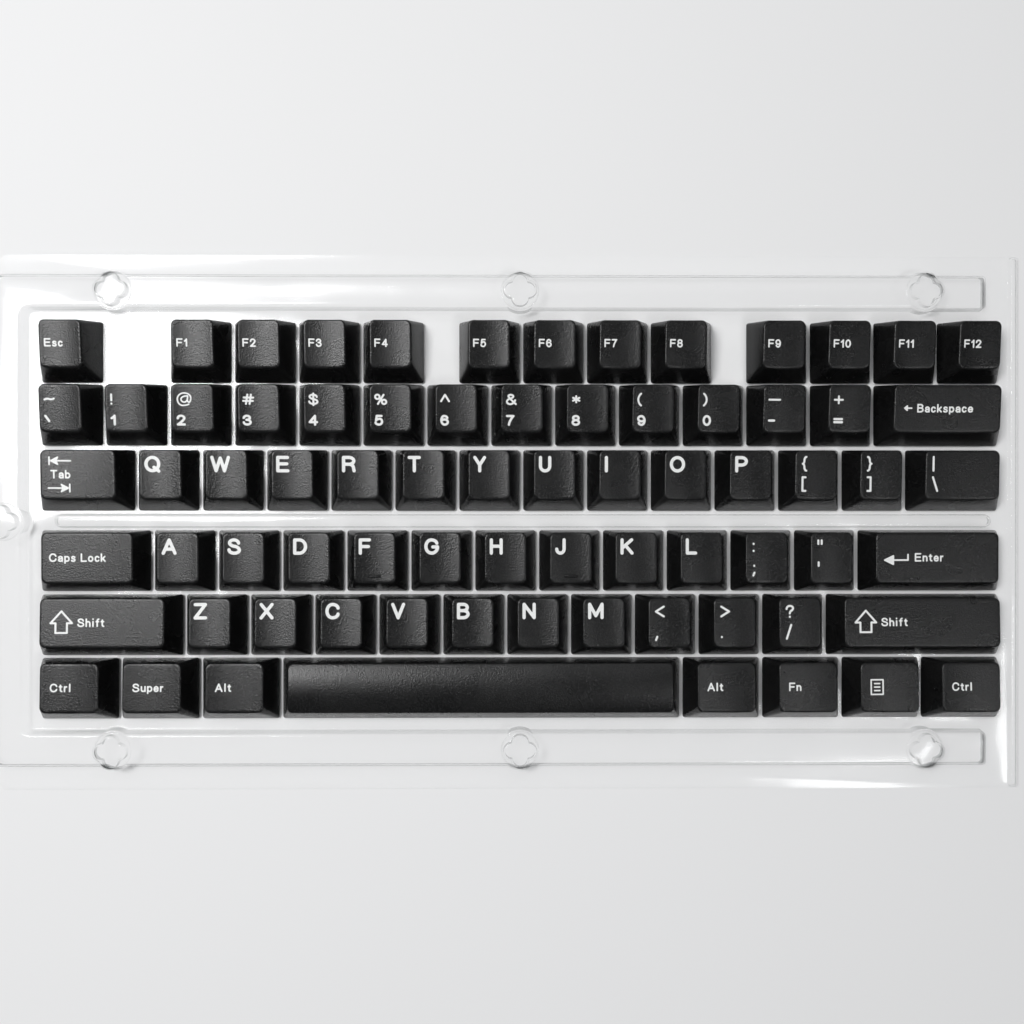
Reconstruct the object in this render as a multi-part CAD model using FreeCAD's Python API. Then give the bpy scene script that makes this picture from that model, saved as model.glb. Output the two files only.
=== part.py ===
import FreeCAD, Part
import math
import os
from collections import namedtuple

# A set of keycaps lying in the clear snap-stud tray that it is sold and kept in.
# The frame: +X to the right along the rows, +Y to the back row, +Z up, and the origin
# on the tray's underside at the middle of its outline. Everything is in millimetres.

# ---- Driving dimensions: the grid of keys
PITCH = 19.05  # one key unit, along a row and from row to row
CAP_GAP = 0.95  # free space between the skirts of two caps
FIELD_UNITS = 15.0  # length of a full row, in key units
FIELD_CENTRE_X = 7.4  # middle of the rows, which sit off the tray's centre
BACK_ROW_Y = 50.85  # nominal centre line of the function row
SECTION_GAP = 5.1  # extra space between the third and fourth rows, for the rib
ROW_SETTLE = (-0.4, 0.0, -0.3, 0.0, 0.0, 0.2)  # where each row lies within its play

# ---- Driving dimensions: the keycaps
SIDE_INSET = 3.05  # how far each side flank leans in
WALL = 1.5
ROOF = 1.6
BASE_CORNER = 0.8
TOP_CORNER = 1.8
DISH_DEPTH = 0.55
SPACE_CROWN = 1.0  # the space bar's top is crowned, not dished
STEM_RADIUS = 2.75
STEM_LIFT = 0.6  # the stem ends this far above the skirt
CROSS_LENGTH = 4.1
CROSS_SLOT = 1.2
CROSS_DEPTH = 3.8
STABILISER_OFFSET = 11.9  # outer stems of the caps from 2 to 2.75 units
SPACE_STEM_OFFSET = 50.0  # outer stems of the space bar
HOMING_BAR_LENGTH = 4.0
HOMING_BAR_RADIUS = 0.45
HOMING_BAR_INSET = 2.0  # from the front edge of the top

# Front and back heights of the top's rim, and how far its front and back edges stand in
# from the skirt, for each sculpted row.
Profile = namedtuple("Profile", "front_height back_height front_inset back_inset")
PROFILES = {
    "function": Profile(8.2, 9.5, 3.6, 0.9),
    "upper": Profile(7.7, 8.3, 3.4, 0.5),
    "home": Profile(7.4, 7.5, 2.8, 0.6),
    "lower": Profile(8.7, 8.2, 3.3, 0.6),
}

# ---- Driving dimensions: the tray
SHEET = 0.5  # thickness of the formed sheet
TRAY_LENGTH = 312.5
TRAY_WIDTH = 159.0
TRAY_CHAMFER = 10.0  # cut corners at the left end
TRAY_CORNER = 2.0
DRAFT = 0.15  # lean of every formed wall, per millimetre of height
RAIL_HEIGHT = 4.0  # top of the raised rails above the floor of the tray
RAIL_WIDTH = 10.6
BACK_RAIL_Y = 68.2
FRONT_RAIL_Y = -67.0
LEFT_RAIL_X = -144.6
RAIL_END_X = 145.4
RAIL_OUTER_CORNER = 4.0
RAIL_INNER_CORNER = 2.6
STUD_PITCH = 119.6  # between the three studs of a long rail
STUD_ROW_X = 6.9  # middle stud of a long rail
STUD_SIDE_Y = 0.2  # the one stud on the left rail
STUD_LOBE_RADIUS = 2.6
STUD_LOBE_OFFSET = 2.35
STUD_HEIGHT = 3.0  # above the rail's top
STUD_PAD_RADIUS = 6.1
STUD_PAD_RISE = 0.4
RIB_START_X = -130.9
RIB_END_X = 147.5
RIB_Y = 0.4
RIB_WIDTH = 3.9
RIB_HEIGHT = 2.0
BEAD_WIDTH = 3.1  # the raised edge along the right end
BEAD_HEIGHT = 1.5
BOSS_OUTER_RADIUS = 6.2  # ring bosses that hold each cap in its place
BOSS_INNER_RADIUS = 3.6
BOSS_HEIGHT = 1.8
BELOW = -1.0  # cutting tools start this far under the tray
MARGIN = 0.2  # how far a cutting tool runs past what it cuts

# ---- The rows, back to front: node, width in key units, number of caps in that node.
# A cell of None is free space.
SPACE = "cap_space"
ROWS = (
    ("function", (("cap_esc", 1, 1), (None, 1, 1), ("caps_f1_f4", 1, 4), (None, 0.5, 1),
                  ("caps_f5_f8", 1, 4), (None, 0.5, 1), ("caps_f9_f12", 1, 4))),
    ("function", (("cap_grave", 1, 1), ("caps_digits_1_5", 1, 5), ("caps_digits_6_0", 1, 5),
                  ("cap_minus", 1, 1), ("cap_equals", 1, 1), ("cap_backspace", 2, 1))),
    ("upper", (("cap_tab", 1.5, 1),) + tuple(("cap_" + key, 1, 1) for key in "qwertyuiop")
     + (("cap_bracket_left", 1, 1), ("cap_bracket_right", 1, 1), ("cap_backslash", 1.5, 1))),
    ("home", (("cap_caps_lock", 1.75, 1),) + tuple(("cap_" + key, 1, 1) for key in "asdfghjkl")
     + (("cap_semicolon", 1, 1), ("cap_quote", 1, 1), ("cap_enter", 2.25, 1))),
    ("lower", (("cap_shift_left", 2.25, 1),) + tuple(("cap_" + key, 1, 1) for key in "zxcvbnm")
     + (("cap_comma", 1, 1), ("cap_period", 1, 1), ("cap_slash", 1, 1),
        ("cap_shift_right", 2.75, 1))),
    ("lower", (("cap_ctrl_left", 1.25, 1), ("cap_super", 1.25, 1), ("cap_alt_left", 1.25, 1),
               (SPACE, 6.25, 1), ("cap_alt_right", 1.25, 1), ("cap_fn", 1.25, 1),
               ("cap_menu", 1.25, 1), ("cap_ctrl_right", 1.25, 1))),
)
HOMING_KEYS = ("cap_f", "cap_j")

# ---- Worked out from them
CAP_DEPTH = PITCH - CAP_GAP
RAIL_TOP = SHEET + RAIL_HEIGHT
PAD_TOP = RAIL_TOP + STUD_PAD_RISE
STUD_TOP = RAIL_TOP + STUD_HEIGHT
HALF_LENGTH = TRAY_LENGTH / 2
HALF_WIDTH = TRAY_WIDTH / 2

X_AXIS = FreeCAD.Vector(1, 0, 0)
Y_AXIS = FreeCAD.Vector(0, 1, 0)
ORIGIN = FreeCAD.Vector(0, 0, 0)

Cap = namedtuple("Cap", "node profile x y units")


def row_y(index):
    """Centre line of a row, counted from the back."""
    section = SECTION_GAP if index >= 3 else 0.0
    return BACK_ROW_Y - index * PITCH - section + ROW_SETTLE[index]


def layout():
    """Every cap of the set, with its node, profile, centre and width."""
    caps = []
    for index, (profile, cells) in enumerate(ROWS):
        left = FIELD_CENTRE_X - FIELD_UNITS * PITCH / 2
        for node, units, count in cells:
            for _ in range(count):
                if node:
                    caps.append(Cap(node, profile, left + units * PITCH / 2, row_y(index), units))
                left += units * PITCH
    return caps


def cap_width(units):
    return units * PITCH - CAP_GAP


def stem_offsets(units):
    """Where a cap's stems stand along its length."""
    if units > 6:
        return (-SPACE_STEM_OFFSET, 0.0, SPACE_STEM_OFFSET)
    if units >= 2:
        return (-STABILISER_OFFSET, 0.0, STABILISER_OFFSET)
    return (0.0,)


def boss_offsets(units):
    """Where the tray's ring bosses stand under a cap."""
    return stem_offsets(units) if units > 6 else (0.0,)


def rounded_wire(x0, x1, y0, y1, radius, z):
    """A level rectangle with rounded corners, as a closed wire."""
    edges = []
    corners = ((x1 - radius, y1 - radius, 0), (x0 + radius, y1 - radius, 90),
               (x0 + radius, y0 + radius, 180), (x1 - radius, y0 + radius, 270))
    ends = []
    for cx, cy, start in corners:
        points = []
        for turn in (start, start + 45, start + 90):
            angle = math.radians(turn)
            points.append(FreeCAD.Vector(cx + radius * math.cos(angle),
                                         cy + radius * math.sin(angle), z))
        ends.append(points)
    for index, points in enumerate(ends):
        following = ends[(index + 1) % len(ends)]
        edges.append(Part.Arc(*points).toShape())
        edges.append(Part.LineSegment(points[2], following[0]).toShape())
    return Part.Wire(edges)


def frustum(x0, x1, y0, y1, radius, z0, z1, lean, foot=SHEET):
    """A block whose walls lean in by lean per millimetre above foot, where it has its named size."""
    wires = []
    for z in (z0, z1):
        inset = lean * (z - foot)
        wires.append(rounded_wire(x0 + inset, x1 - inset, y0 + inset, y1 - inset,
                                  max(radius - inset, MARGIN), z))
    return Part.makeLoft(wires, True, True)


# ---- Keycaps


def top_wire(width, profile, inset, drop, corner):
    """The rim of a cap's top, or of its roof's underside, on the sloping plane of the top."""
    front = -CAP_DEPTH / 2 + profile.front_inset + inset
    back = CAP_DEPTH / 2 - profile.back_inset - inset
    half = width / 2 - SIDE_INSET - inset
    middle = (front + back) / 2
    rise = (profile.front_height + profile.back_height) / 2 - drop
    wire = rounded_wire(-half, half, front - middle, back - middle, corner, 0)
    wire.rotate(ORIGIN, X_AXIS, slope(profile))
    wire.translate(FreeCAD.Vector(0, middle, rise))
    return wire


def slope(profile):
    """Tilt of a cap's top about X, in degrees: positive when its back edge is the higher."""
    run = CAP_DEPTH - profile.front_inset - profile.back_inset
    return math.degrees(math.atan2(profile.back_height - profile.front_height, run))


def tapered(width, profile, inset, drop):
    """The tapered body of a cap, or of the hollow in it."""
    half = width / 2 - inset
    deep = CAP_DEPTH / 2 - inset
    softer = 0.5 if inset else 1.0  # the hollow's corners are half as round
    base = rounded_wire(-half, half, -deep, deep, BASE_CORNER * softer, 0)
    rim = top_wire(width, profile, inset, drop, TOP_CORNER * softer)
    return Part.makeLoft([base, rim], True, True)


def dish_tool(width, profile):
    """The cylinder that hollows the top of a cap from side to side."""
    chord = width / 2 - SIDE_INSET + MARGIN
    radius = (chord ** 2 + DISH_DEPTH ** 2) / (2 * DISH_DEPTH)
    middle = (profile.front_inset - profile.back_inset) / 2
    rise = (profile.front_height + profile.back_height) / 2
    tool = Part.makeCylinder(radius, 2 * PITCH, FreeCAD.Vector(0, -PITCH, 0), Y_AXIS)
    tool.translate(FreeCAD.Vector(0, 0, radius - DISH_DEPTH))
    tool.rotate(ORIGIN, X_AXIS, slope(profile))
    tool.translate(FreeCAD.Vector(0, middle, rise))
    return tool


def crown_tool(width, profile):
    """The long cylinder whose upper side is the crowned top of the space bar."""
    chord = (CAP_DEPTH - profile.front_inset - profile.back_inset) / 2
    radius = (chord ** 2 + SPACE_CROWN ** 2) / (2 * SPACE_CROWN)
    middle = (profile.front_inset - profile.back_inset) / 2
    rise = (profile.front_height + profile.back_height) / 2
    start = FreeCAD.Vector(-width, middle, rise + SPACE_CROWN / 2 - radius)
    return Part.makeCylinder(radius, 2 * width, start, X_AXIS)


def stem(x, roof):
    """One round stem with its cross-shaped socket, up into the cap's roof."""
    post = Part.makeCylinder(STEM_RADIUS, roof - STEM_LIFT, FreeCAD.Vector(x, 0, STEM_LIFT))
    slots = []
    for length, width in ((CROSS_LENGTH, CROSS_SLOT), (CROSS_SLOT, CROSS_LENGTH)):
        corner = FreeCAD.Vector(x - length / 2, -width / 2, STEM_LIFT - MARGIN)
        slots.append(Part.makeBox(length, width, CROSS_DEPTH + MARGIN, corner))
    return post.cut(slots[0].fuse(slots[1]))


def homing_bar(profile):
    """The small raised bar that a typing finger finds."""
    front = -CAP_DEPTH / 2 + profile.front_inset + HOMING_BAR_INSET
    middle = (profile.front_inset - profile.back_inset) / 2
    rise = (profile.front_height + profile.back_height) / 2
    z = rise + (front - middle) * math.tan(math.radians(slope(profile))) - DISH_DEPTH
    start = FreeCAD.Vector(-HOMING_BAR_LENGTH / 2, front, z)
    return Part.makeCylinder(HOMING_BAR_RADIUS, HOMING_BAR_LENGTH, start, X_AXIS)


def cap_solid(node, profile_name, units):
    """One keycap with its skirt's base at z = 0 and its middle stem on the Z axis."""
    profile = PROFILES[profile_name]
    width = cap_width(units)
    if node == SPACE:
        body = tapered(width, profile, 0, -SPACE_CROWN / 2)
        body = body.common(crown_tool(width, profile))
    else:
        body = tapered(width, profile, 0, 0).cut(dish_tool(width, profile))
    if node in HOMING_KEYS:
        body = body.fuse(homing_bar(profile))
    hollow = tapered(width, profile, WALL, ROOF)
    shell = body.cut(hollow)
    roof = (profile.front_height + profile.back_height) / 2 - ROOF + MARGIN
    shell = shell.multiFuse([stem(x, roof) for x in stem_offsets(units)])
    return shell.removeSplitter()


# ---- The tray


def plate():
    """The flat sheet: square at the right end and with cut corners at the left."""
    points = ((-HALF_LENGTH + TRAY_CHAMFER, -HALF_WIDTH), (HALF_LENGTH, -HALF_WIDTH),
              (HALF_LENGTH, HALF_WIDTH), (-HALF_LENGTH + TRAY_CHAMFER, HALF_WIDTH),
              (-HALF_LENGTH, HALF_WIDTH - TRAY_CHAMFER), (-HALF_LENGTH, -HALF_WIDTH + TRAY_CHAMFER))
    outline = Part.makePolygon([FreeCAD.Vector(x, y, 0) for x, y in points + points[:1]])
    sheet = Part.Face(outline).extrude(FreeCAD.Vector(0, 0, SHEET))
    upright = [edge for edge in sheet.Edges if abs(edge.Vertexes[0].Z - edge.Vertexes[1].Z) > SHEET / 2]
    return sheet.makeFillet(TRAY_CORNER, upright)


def rails(shrink, top):
    """The C of raised rails around three sides of the caps, drawn in by shrink for its hollow."""
    half = RAIL_WIDTH / 2
    low = BELOW if shrink else 0.0
    block = frustum(LEFT_RAIL_X - half + shrink, RAIL_END_X - shrink,
                    FRONT_RAIL_Y - half + shrink, BACK_RAIL_Y + half - shrink,
                    RAIL_OUTER_CORNER, low, top, DRAFT)
    pocket = frustum(LEFT_RAIL_X + half - shrink, RAIL_END_X + TRAY_WIDTH,
                     FRONT_RAIL_Y + half - shrink, BACK_RAIL_Y - half + shrink,
                     RAIL_INNER_CORNER, low - 1, top + 1, -DRAFT)
    return block.cut(pocket)


def stud_places():
    """Centres of the seven snap studs."""
    places = [(STUD_ROW_X + step * STUD_PITCH, y) for y in (BACK_RAIL_Y, FRONT_RAIL_Y) for step in (-1, 0, 1)]
    return places + [(LEFT_RAIL_X, STUD_SIDE_Y)]


def stud(x, y, shrink):
    """A four-lobed snap stud on its round pad, drawn in by shrink for its hollow."""
    low = BELOW if shrink else 0.0
    pieces = [Part.makeCone(STUD_PAD_RADIUS + DRAFT - shrink, STUD_PAD_RADIUS - DRAFT - shrink,
                            PAD_TOP - shrink - low, FreeCAD.Vector(x, y, low))]
    for turn in range(4):
        angle = math.radians(90 * turn)
        centre = FreeCAD.Vector(x + STUD_LOBE_OFFSET * math.cos(angle),
                                y + STUD_LOBE_OFFSET * math.sin(angle), low)
        pieces.append(Part.makeCylinder(STUD_LOBE_RADIUS - shrink, STUD_TOP - shrink - low, centre))
    return pieces[0].multiFuse(pieces[1:])


def rib(shrink):
    """The low rib that parts the third row from the fourth."""
    half = RIB_WIDTH / 2 - shrink
    low = BELOW if shrink else 0.0
    return frustum(RIB_START_X + shrink, RIB_END_X - shrink, RIB_Y - half, RIB_Y + half,
                   half - MARGIN, low, SHEET + RIB_HEIGHT - shrink, DRAFT)


def bead(shrink):
    """The raised edge along the right end."""
    low = BELOW if shrink else 0.0
    return frustum(HALF_LENGTH - BEAD_WIDTH + shrink, HALF_LENGTH - shrink,
                   -HALF_WIDTH + shrink, HALF_WIDTH - shrink, TRAY_CORNER / 2,
                   low, SHEET + BEAD_HEIGHT - shrink, DRAFT, foot=0.0)


def boss(x, y, shrink):
    """A ring boss that fits loosely inside a cap's skirt and around its stem."""
    low = BELOW if shrink else 0.0
    height = SHEET + BOSS_HEIGHT - shrink - low
    base = FreeCAD.Vector(x, y, low)
    lean = DRAFT * BOSS_HEIGHT
    outer = Part.makeCone(BOSS_OUTER_RADIUS - shrink, BOSS_OUTER_RADIUS - lean - shrink, height, base)
    inner = Part.makeCone(BOSS_INNER_RADIUS + shrink, BOSS_INNER_RADIUS + lean + shrink, height, base)
    return outer.cut(inner)


def boss_places():
    return [(cap.x + offset, cap.y) for cap in layout() for offset in boss_offsets(cap.units)]


def formed(shrink):
    """Everything that is raised from the sheet, at its outer size or drawn in as its hollow."""
    raised = [rails(shrink, RAIL_TOP - shrink), rib(shrink), bead(shrink)]
    raised += [stud(x, y, shrink) for x, y in stud_places()]
    raised += [boss(x, y, shrink) for x, y in boss_places()]
    return raised


def tray():
    """The one formed sheet: flat plate and raised shapes, hollow from below."""
    solid = plate().multiFuse(formed(0.0))
    return solid.cut(formed(SHEET)).removeSplitter()


def main():
    os.makedirs("parts", exist_ok=True)
    nodes = {"tray": [tray()]}
    made = {}
    for cap in layout():
        homing = cap.node if cap.node in HOMING_KEYS + (SPACE,) else ""
        key = (homing, cap.profile, cap.units)
        if key not in made:
            made[key] = cap_solid(cap.node, cap.profile, cap.units)
        placed = made[key].copy()
        placed.translate(FreeCAD.Vector(cap.x, cap.y, SHEET))
        nodes.setdefault(cap.node, []).append(placed)
    for node, solids in nodes.items():
        shape = solids[0] if len(solids) == 1 else Part.makeCompound(solids)
        shape.exportStep("parts/" + node + ".step")
        box = shape.BoundBox
        print(node, len(shape.Solids), shape.isValid(), round(shape.Volume, 1),
              [round(v, 2) for v in (box.XMin, box.XMax, box.YMin, box.YMax, box.ZMin, box.ZMax)])


if __name__ == "__main__":
    main()
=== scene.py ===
"""The looks of a full set of sculpted keycaps that lies in its clear formed tray.

Sizes in the classes are millimetres, and Surface.make turns them into metres. Where a cap stands and how
wide it is comes from the box of its node in the frame.
"""

import logging
import math
from collections import Counter
from collections.abc import Callable, Iterator, Sequence
from dataclasses import dataclass, field, replace
from enum import Enum
from functools import lru_cache

import bpy
import numpy as np
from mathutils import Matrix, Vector
from mathutils.geometry import delaunay_2d_cdt


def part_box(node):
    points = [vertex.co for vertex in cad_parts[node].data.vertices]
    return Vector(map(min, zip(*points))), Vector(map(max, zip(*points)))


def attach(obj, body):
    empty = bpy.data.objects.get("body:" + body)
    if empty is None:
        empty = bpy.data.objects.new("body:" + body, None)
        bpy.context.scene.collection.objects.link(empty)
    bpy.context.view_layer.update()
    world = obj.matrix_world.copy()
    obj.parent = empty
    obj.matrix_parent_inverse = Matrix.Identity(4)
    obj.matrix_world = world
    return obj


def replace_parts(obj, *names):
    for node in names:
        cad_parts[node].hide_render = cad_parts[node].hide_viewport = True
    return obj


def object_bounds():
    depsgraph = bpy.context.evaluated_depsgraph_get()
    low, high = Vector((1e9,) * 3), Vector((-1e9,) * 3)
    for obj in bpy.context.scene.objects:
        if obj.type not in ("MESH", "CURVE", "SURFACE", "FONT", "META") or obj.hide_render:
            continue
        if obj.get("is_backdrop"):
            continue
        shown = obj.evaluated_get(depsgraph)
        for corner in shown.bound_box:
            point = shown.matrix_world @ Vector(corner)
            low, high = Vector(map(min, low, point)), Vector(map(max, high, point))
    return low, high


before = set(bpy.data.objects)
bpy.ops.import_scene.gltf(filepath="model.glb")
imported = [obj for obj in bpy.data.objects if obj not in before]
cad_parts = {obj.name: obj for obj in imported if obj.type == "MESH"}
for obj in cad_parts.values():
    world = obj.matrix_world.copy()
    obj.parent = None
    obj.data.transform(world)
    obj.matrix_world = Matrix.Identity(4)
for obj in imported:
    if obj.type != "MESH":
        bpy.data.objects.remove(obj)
CAD_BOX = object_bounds()
LOG = logging.getLogger("keycaps")

MM = 0.001  # metres in a millimetre
PITCH = 19.05  # one key unit
SMOOTH_ANGLE = math.radians(32)  # faces that meet at more than this keep a sharp edge
Flat = tuple[float, float]
Solid = tuple[float, float, float]


class Surface:
    """Points and faces of one piece, in millimetres."""

    def __init__(self) -> None:
        """Start with no points and no faces."""
        self.points: list[Solid] = []
        self.faces: list[Sequence[int]] = []

    def loop(self, points: Sequence[Solid]) -> list[int]:
        """Add points.

        Args:
            points: The points, in order.

        Returns:
            Their indices.
        """
        first = len(self.points)
        self.points.extend(points)
        return list(range(first, len(self.points)))

    def level(self, outline: Sequence[Flat], height: float) -> list[int]:
        """Add an outline at one height, and give its indices."""
        return self.loop([(x, y, height) for x, y in outline])

    def bridge(self, low: Sequence[int], high: Sequence[int]) -> None:
        """Join two closed loops of equal length; the faces look outward if the loops run anticlockwise."""
        for here in range(len(low)):
            after = (here + 1) % len(low)
            self.faces.append((low[here], low[after], high[after], high[here]))

    def skin(self, loops: Sequence[Sequence[int]]) -> None:
        """Join each loop to the next one."""
        for low, high in zip(loops, loops[1:]):
            self.bridge(low, high)

    def lid(self, loop: Sequence[int], up: bool = True) -> None:
        """Close a loop with one flat face that looks up or down."""
        self.faces.append(tuple(loop) if up else tuple(reversed(loop)))

    def span(self, outer: Sequence[int], holes: Sequence[Sequence[int]], up: bool = True) -> None:
        """Fill the flat area inside one loop and outside the others.

        Args:
            outer: The loop round the area.
            holes: The loops that stay open.
            up: Whether the faces look up.
        """
        used = [index for ring in (outer, *holes) for index in ring]
        flat = [Vector(self.points[index][:2]) for index in used]
        rings, first = [], 0
        for ring in (outer, *holes):
            rings.append(list(range(first, first + len(ring))))
            first += len(ring)
        _, _, triangles, origin, _, owners = delaunay_2d_cdt(flat, [], rings, 1, 1e-6)
        for triangle, owner in zip(triangles, owners):
            if set(owner) != {0}:
                continue
            face = [used[origin[corner][0]] for corner in triangle]
            (ax, ay), (bx, by), (cx, cy) = (self.points[index][:2] for index in face)
            turns_left = (bx - ax) * (cy - ay) > (by - ay) * (cx - ax)
            self.faces.append(face if turns_left == up else face[::-1])

    def make(self, name: str, material: bpy.types.Material, slot: str) -> bpy.types.Object:
        """Turn the points and faces into an object.

        Args:
            name: The piece's name.
            material: What it is made of.
            slot: The record's material slot; it is not used.

        Returns:
            The object, at the origin, with its place in its mesh.
        """
        mesh = bpy.data.meshes.new(name)
        mesh.from_pydata([(x * MM, y * MM, z * MM) for x, y, z in self.points], [], self.faces)
        mesh.shade_smooth()
        mesh.set_sharp_from_angle(angle=SMOOTH_ANGLE)
        shared = Counter(key for face in mesh.polygons for key in face.edge_keys)
        for edge in mesh.edges:
            if shared[edge.key] < 2:
                edge.use_edge_sharp = True
        mesh.materials.append(material)
        piece = bpy.data.objects.new(name, mesh)
        bpy.context.scene.collection.objects.link(piece)
        return piece


# ---------------------------------------------------------------------------------------------------
# Finishes


class Shading:
    """A short way to place and link the nodes of a material or a group."""

    def __init__(self, tree: bpy.types.NodeTree) -> None:
        """Keep the tree that the nodes go in."""
        self.tree = tree

    def add(self, kind: str, **settings: object) -> bpy.types.Node:
        """Place a node.

        Args:
            kind: The node's type, without its prefix.
            settings: Its properties, by name.

        Returns:
            The node.
        """
        node = self.tree.nodes.new("ShaderNode" + kind)
        for name, value in settings.items():
            setattr(node, name, value)
        return node

    def feed(self, node: bpy.types.Node, **inputs: object) -> bpy.types.Node:
        """Give a node its inputs, each a plain value or another node's output.

        Args:
            node: The node.
            inputs: The sockets, with "_" for a space.

        Returns:
            The same node.
        """
        for name, value in inputs.items():
            socket = node.inputs[name.replace("_", " ")]
            if isinstance(value, bpy.types.NodeSocket):
                self.tree.links.new(value, socket)
            else:
                socket.default_value = value
        return node

    def ranged(self, value: bpy.types.NodeSocket, low: float, high: float,
               start: float = 0.0, end: float = 1.0) -> bpy.types.NodeSocket:
        """Stretch a value from one range to another.

        Args:
            value: What is stretched.
            low: What it becomes at start.
            high: What it becomes at end.
            start: The value's own low end.
            end: The value's own high end.

        Returns:
            The stretched value.
        """
        node = self.add("MapRange")
        self.feed(node, Value=value, From_Min=start, From_Max=end, To_Min=low, To_Max=high)
        return node.outputs["Result"]

    def sum(self, operation: str, *values: bpy.types.NodeSocket | float) -> bpy.types.NodeSocket:
        """Do a sum on values.

        Args:
            operation: Blender's name of the sum.
            values: Plain numbers or other nodes' outputs.

        Returns:
            The result.
        """
        node = self.add("Math", operation=operation)
        for socket, value in zip(node.inputs, values):
            if isinstance(value, bpy.types.NodeSocket):
                self.tree.links.new(value, socket)
            else:
                socket.default_value = value
        return node.outputs[0]

    def blend(self, share: bpy.types.NodeSocket, low: Sequence[float],
              high: Sequence[float]) -> bpy.types.NodeSocket:
        """Mix two colours.

        Args:
            share: How much of the second colour there is.
            low: The first colour, red, green and blue.
            high: The second colour.

        Returns:
            The mixed colour.
        """
        ramp = self.add("ValToRGB")
        ramp.color_ramp.elements[0].color = (*low, 1.0)
        ramp.color_ramp.elements[1].color = (*high, 1.0)
        self.feed(ramp, Fac=share)
        return ramp.outputs["Color"]


def effect(name: str, inputs: dict[str, float], outputs: Sequence[str]
           ) -> tuple[Shading, bpy.types.Node, bpy.types.Node]:
    """Start a shader group with named inputs and outputs, all plain values.

    Args:
        name: The group's name.
        inputs: Each input's name and default.
        outputs: Each output's name.

    Returns:
        The group's shading, its input node and its output node.
    """
    tree = bpy.data.node_groups.new(name, "ShaderNodeTree")
    for label, default in inputs.items():
        socket = tree.interface.new_socket(name=label, in_out="INPUT", socket_type="NodeSocketFloat")
        socket.default_value = default
    for label in outputs:
        tree.interface.new_socket(name=label, in_out="OUTPUT", socket_type="NodeSocketFloat")
    return Shading(tree), tree.nodes.new("NodeGroupInput"), tree.nodes.new("NodeGroupOutput")


PIT_SHARE = 0.45  # how much the cells add to the grain's height
SPECKLE_BAND = (0.42, 0.72)  # the noise over which a speckle goes from dark to light
CLOUD_BAND = (0.3, 0.7)  # the noise over which the slow drift goes through its full reach


@lru_cache(maxsize=None)
def grain_group() -> bpy.types.NodeTree:
    """Build the fine grain of a spark-eroded mould: a height for bumps and a speckle mask."""
    group, given, result = effect("moulded_grain", {"Scale": 3000.0, "Contrast": 1.0}, ("Height", "Speckle"))
    place = group.add("TexCoord").outputs["Object"]
    fine = group.feed(group.add("TexNoise"), Vector=place, Scale=given.outputs["Scale"], Detail=3.0,
                      Roughness=0.6)
    pits = group.feed(group.add("TexVoronoi"), Vector=place, Scale=given.outputs["Scale"])
    specks = group.ranged(fine.outputs["Fac"], 0.0, 1.0, *SPECKLE_BAND)
    height = group.sum("MULTIPLY_ADD", pits.outputs["Distance"], PIT_SHARE, fine.outputs["Fac"])
    group.feed(result, Height=height,
               Speckle=group.sum("MULTIPLY", specks, given.outputs["Contrast"]))
    return group.tree


@lru_cache(maxsize=None)
def drift_group() -> bpy.types.NodeTree:
    """Build the slow drift of gloss and shade over a moulded or formed face."""
    group, given, result = effect("slow_drift", {"Scale": 90.0, "Spread": 1.0}, ("Drift",))
    place = group.add("TexCoord").outputs["Object"]
    cloud = group.feed(group.add("TexNoise"), Vector=place, Scale=given.outputs["Scale"], Detail=2.0)
    centred = group.ranged(cloud.outputs["Fac"], -0.5, 0.5, *CLOUD_BAND)
    group.feed(result, Drift=group.sum("MULTIPLY_ADD", centred, given.outputs["Spread"], 0.5))
    return group.tree


@dataclass(frozen=True)
class MouldedPlastic:
    """One shot of a double-shot cap."""

    name: str
    dark: tuple[float, float, float]
    light: tuple[float, float, float]
    smoothest: float
    roughest: float
    grain_scale: float
    grain_depth: float  # of the bump, in millimetres
    specular: float = 0.5
    grain_share: float = 0.75  # of the change of tone; the rest is the slow drift
    drift_scale: float = 70.0
    drift_spread: float = 0.8

    def material(self) -> bpy.types.Material:
        """Build the material, once for each finish."""
        return _moulded(self)


@lru_cache(maxsize=None)
def _moulded(finish: MouldedPlastic) -> bpy.types.Material:
    """Build the material of a moulded plastic.

    Args:
        finish: Its colours, gloss and grain.

    Returns:
        The material.
    """
    material = bpy.data.materials.new(finish.name)
    material.use_nodes = True
    paint = Shading(material.node_tree)
    shader = material.node_tree.nodes["Principled BSDF"]
    grain = paint.feed(paint.add("Group", node_tree=grain_group()), Scale=finish.grain_scale)
    drift = paint.feed(paint.add("Group", node_tree=drift_group()), Scale=finish.drift_scale,
                       Spread=finish.drift_spread)
    patches = paint.ranged(drift.outputs["Drift"], 0.0, 1.0 - finish.grain_share)
    tone = paint.sum("MULTIPLY_ADD", grain.outputs["Speckle"], finish.grain_share, patches)
    bump = paint.feed(paint.add("Bump"), Height=grain.outputs["Height"], Strength=1.0,
                      Distance=finish.grain_depth * MM)
    paint.feed(shader, Base_Color=paint.blend(tone, finish.dark, finish.light),
               Roughness=paint.ranged(drift.outputs["Drift"], finish.smoothest, finish.roughest),
               Normal=bump.outputs["Normal"], Specular_IOR_Level=finish.specular)
    return material


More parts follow.
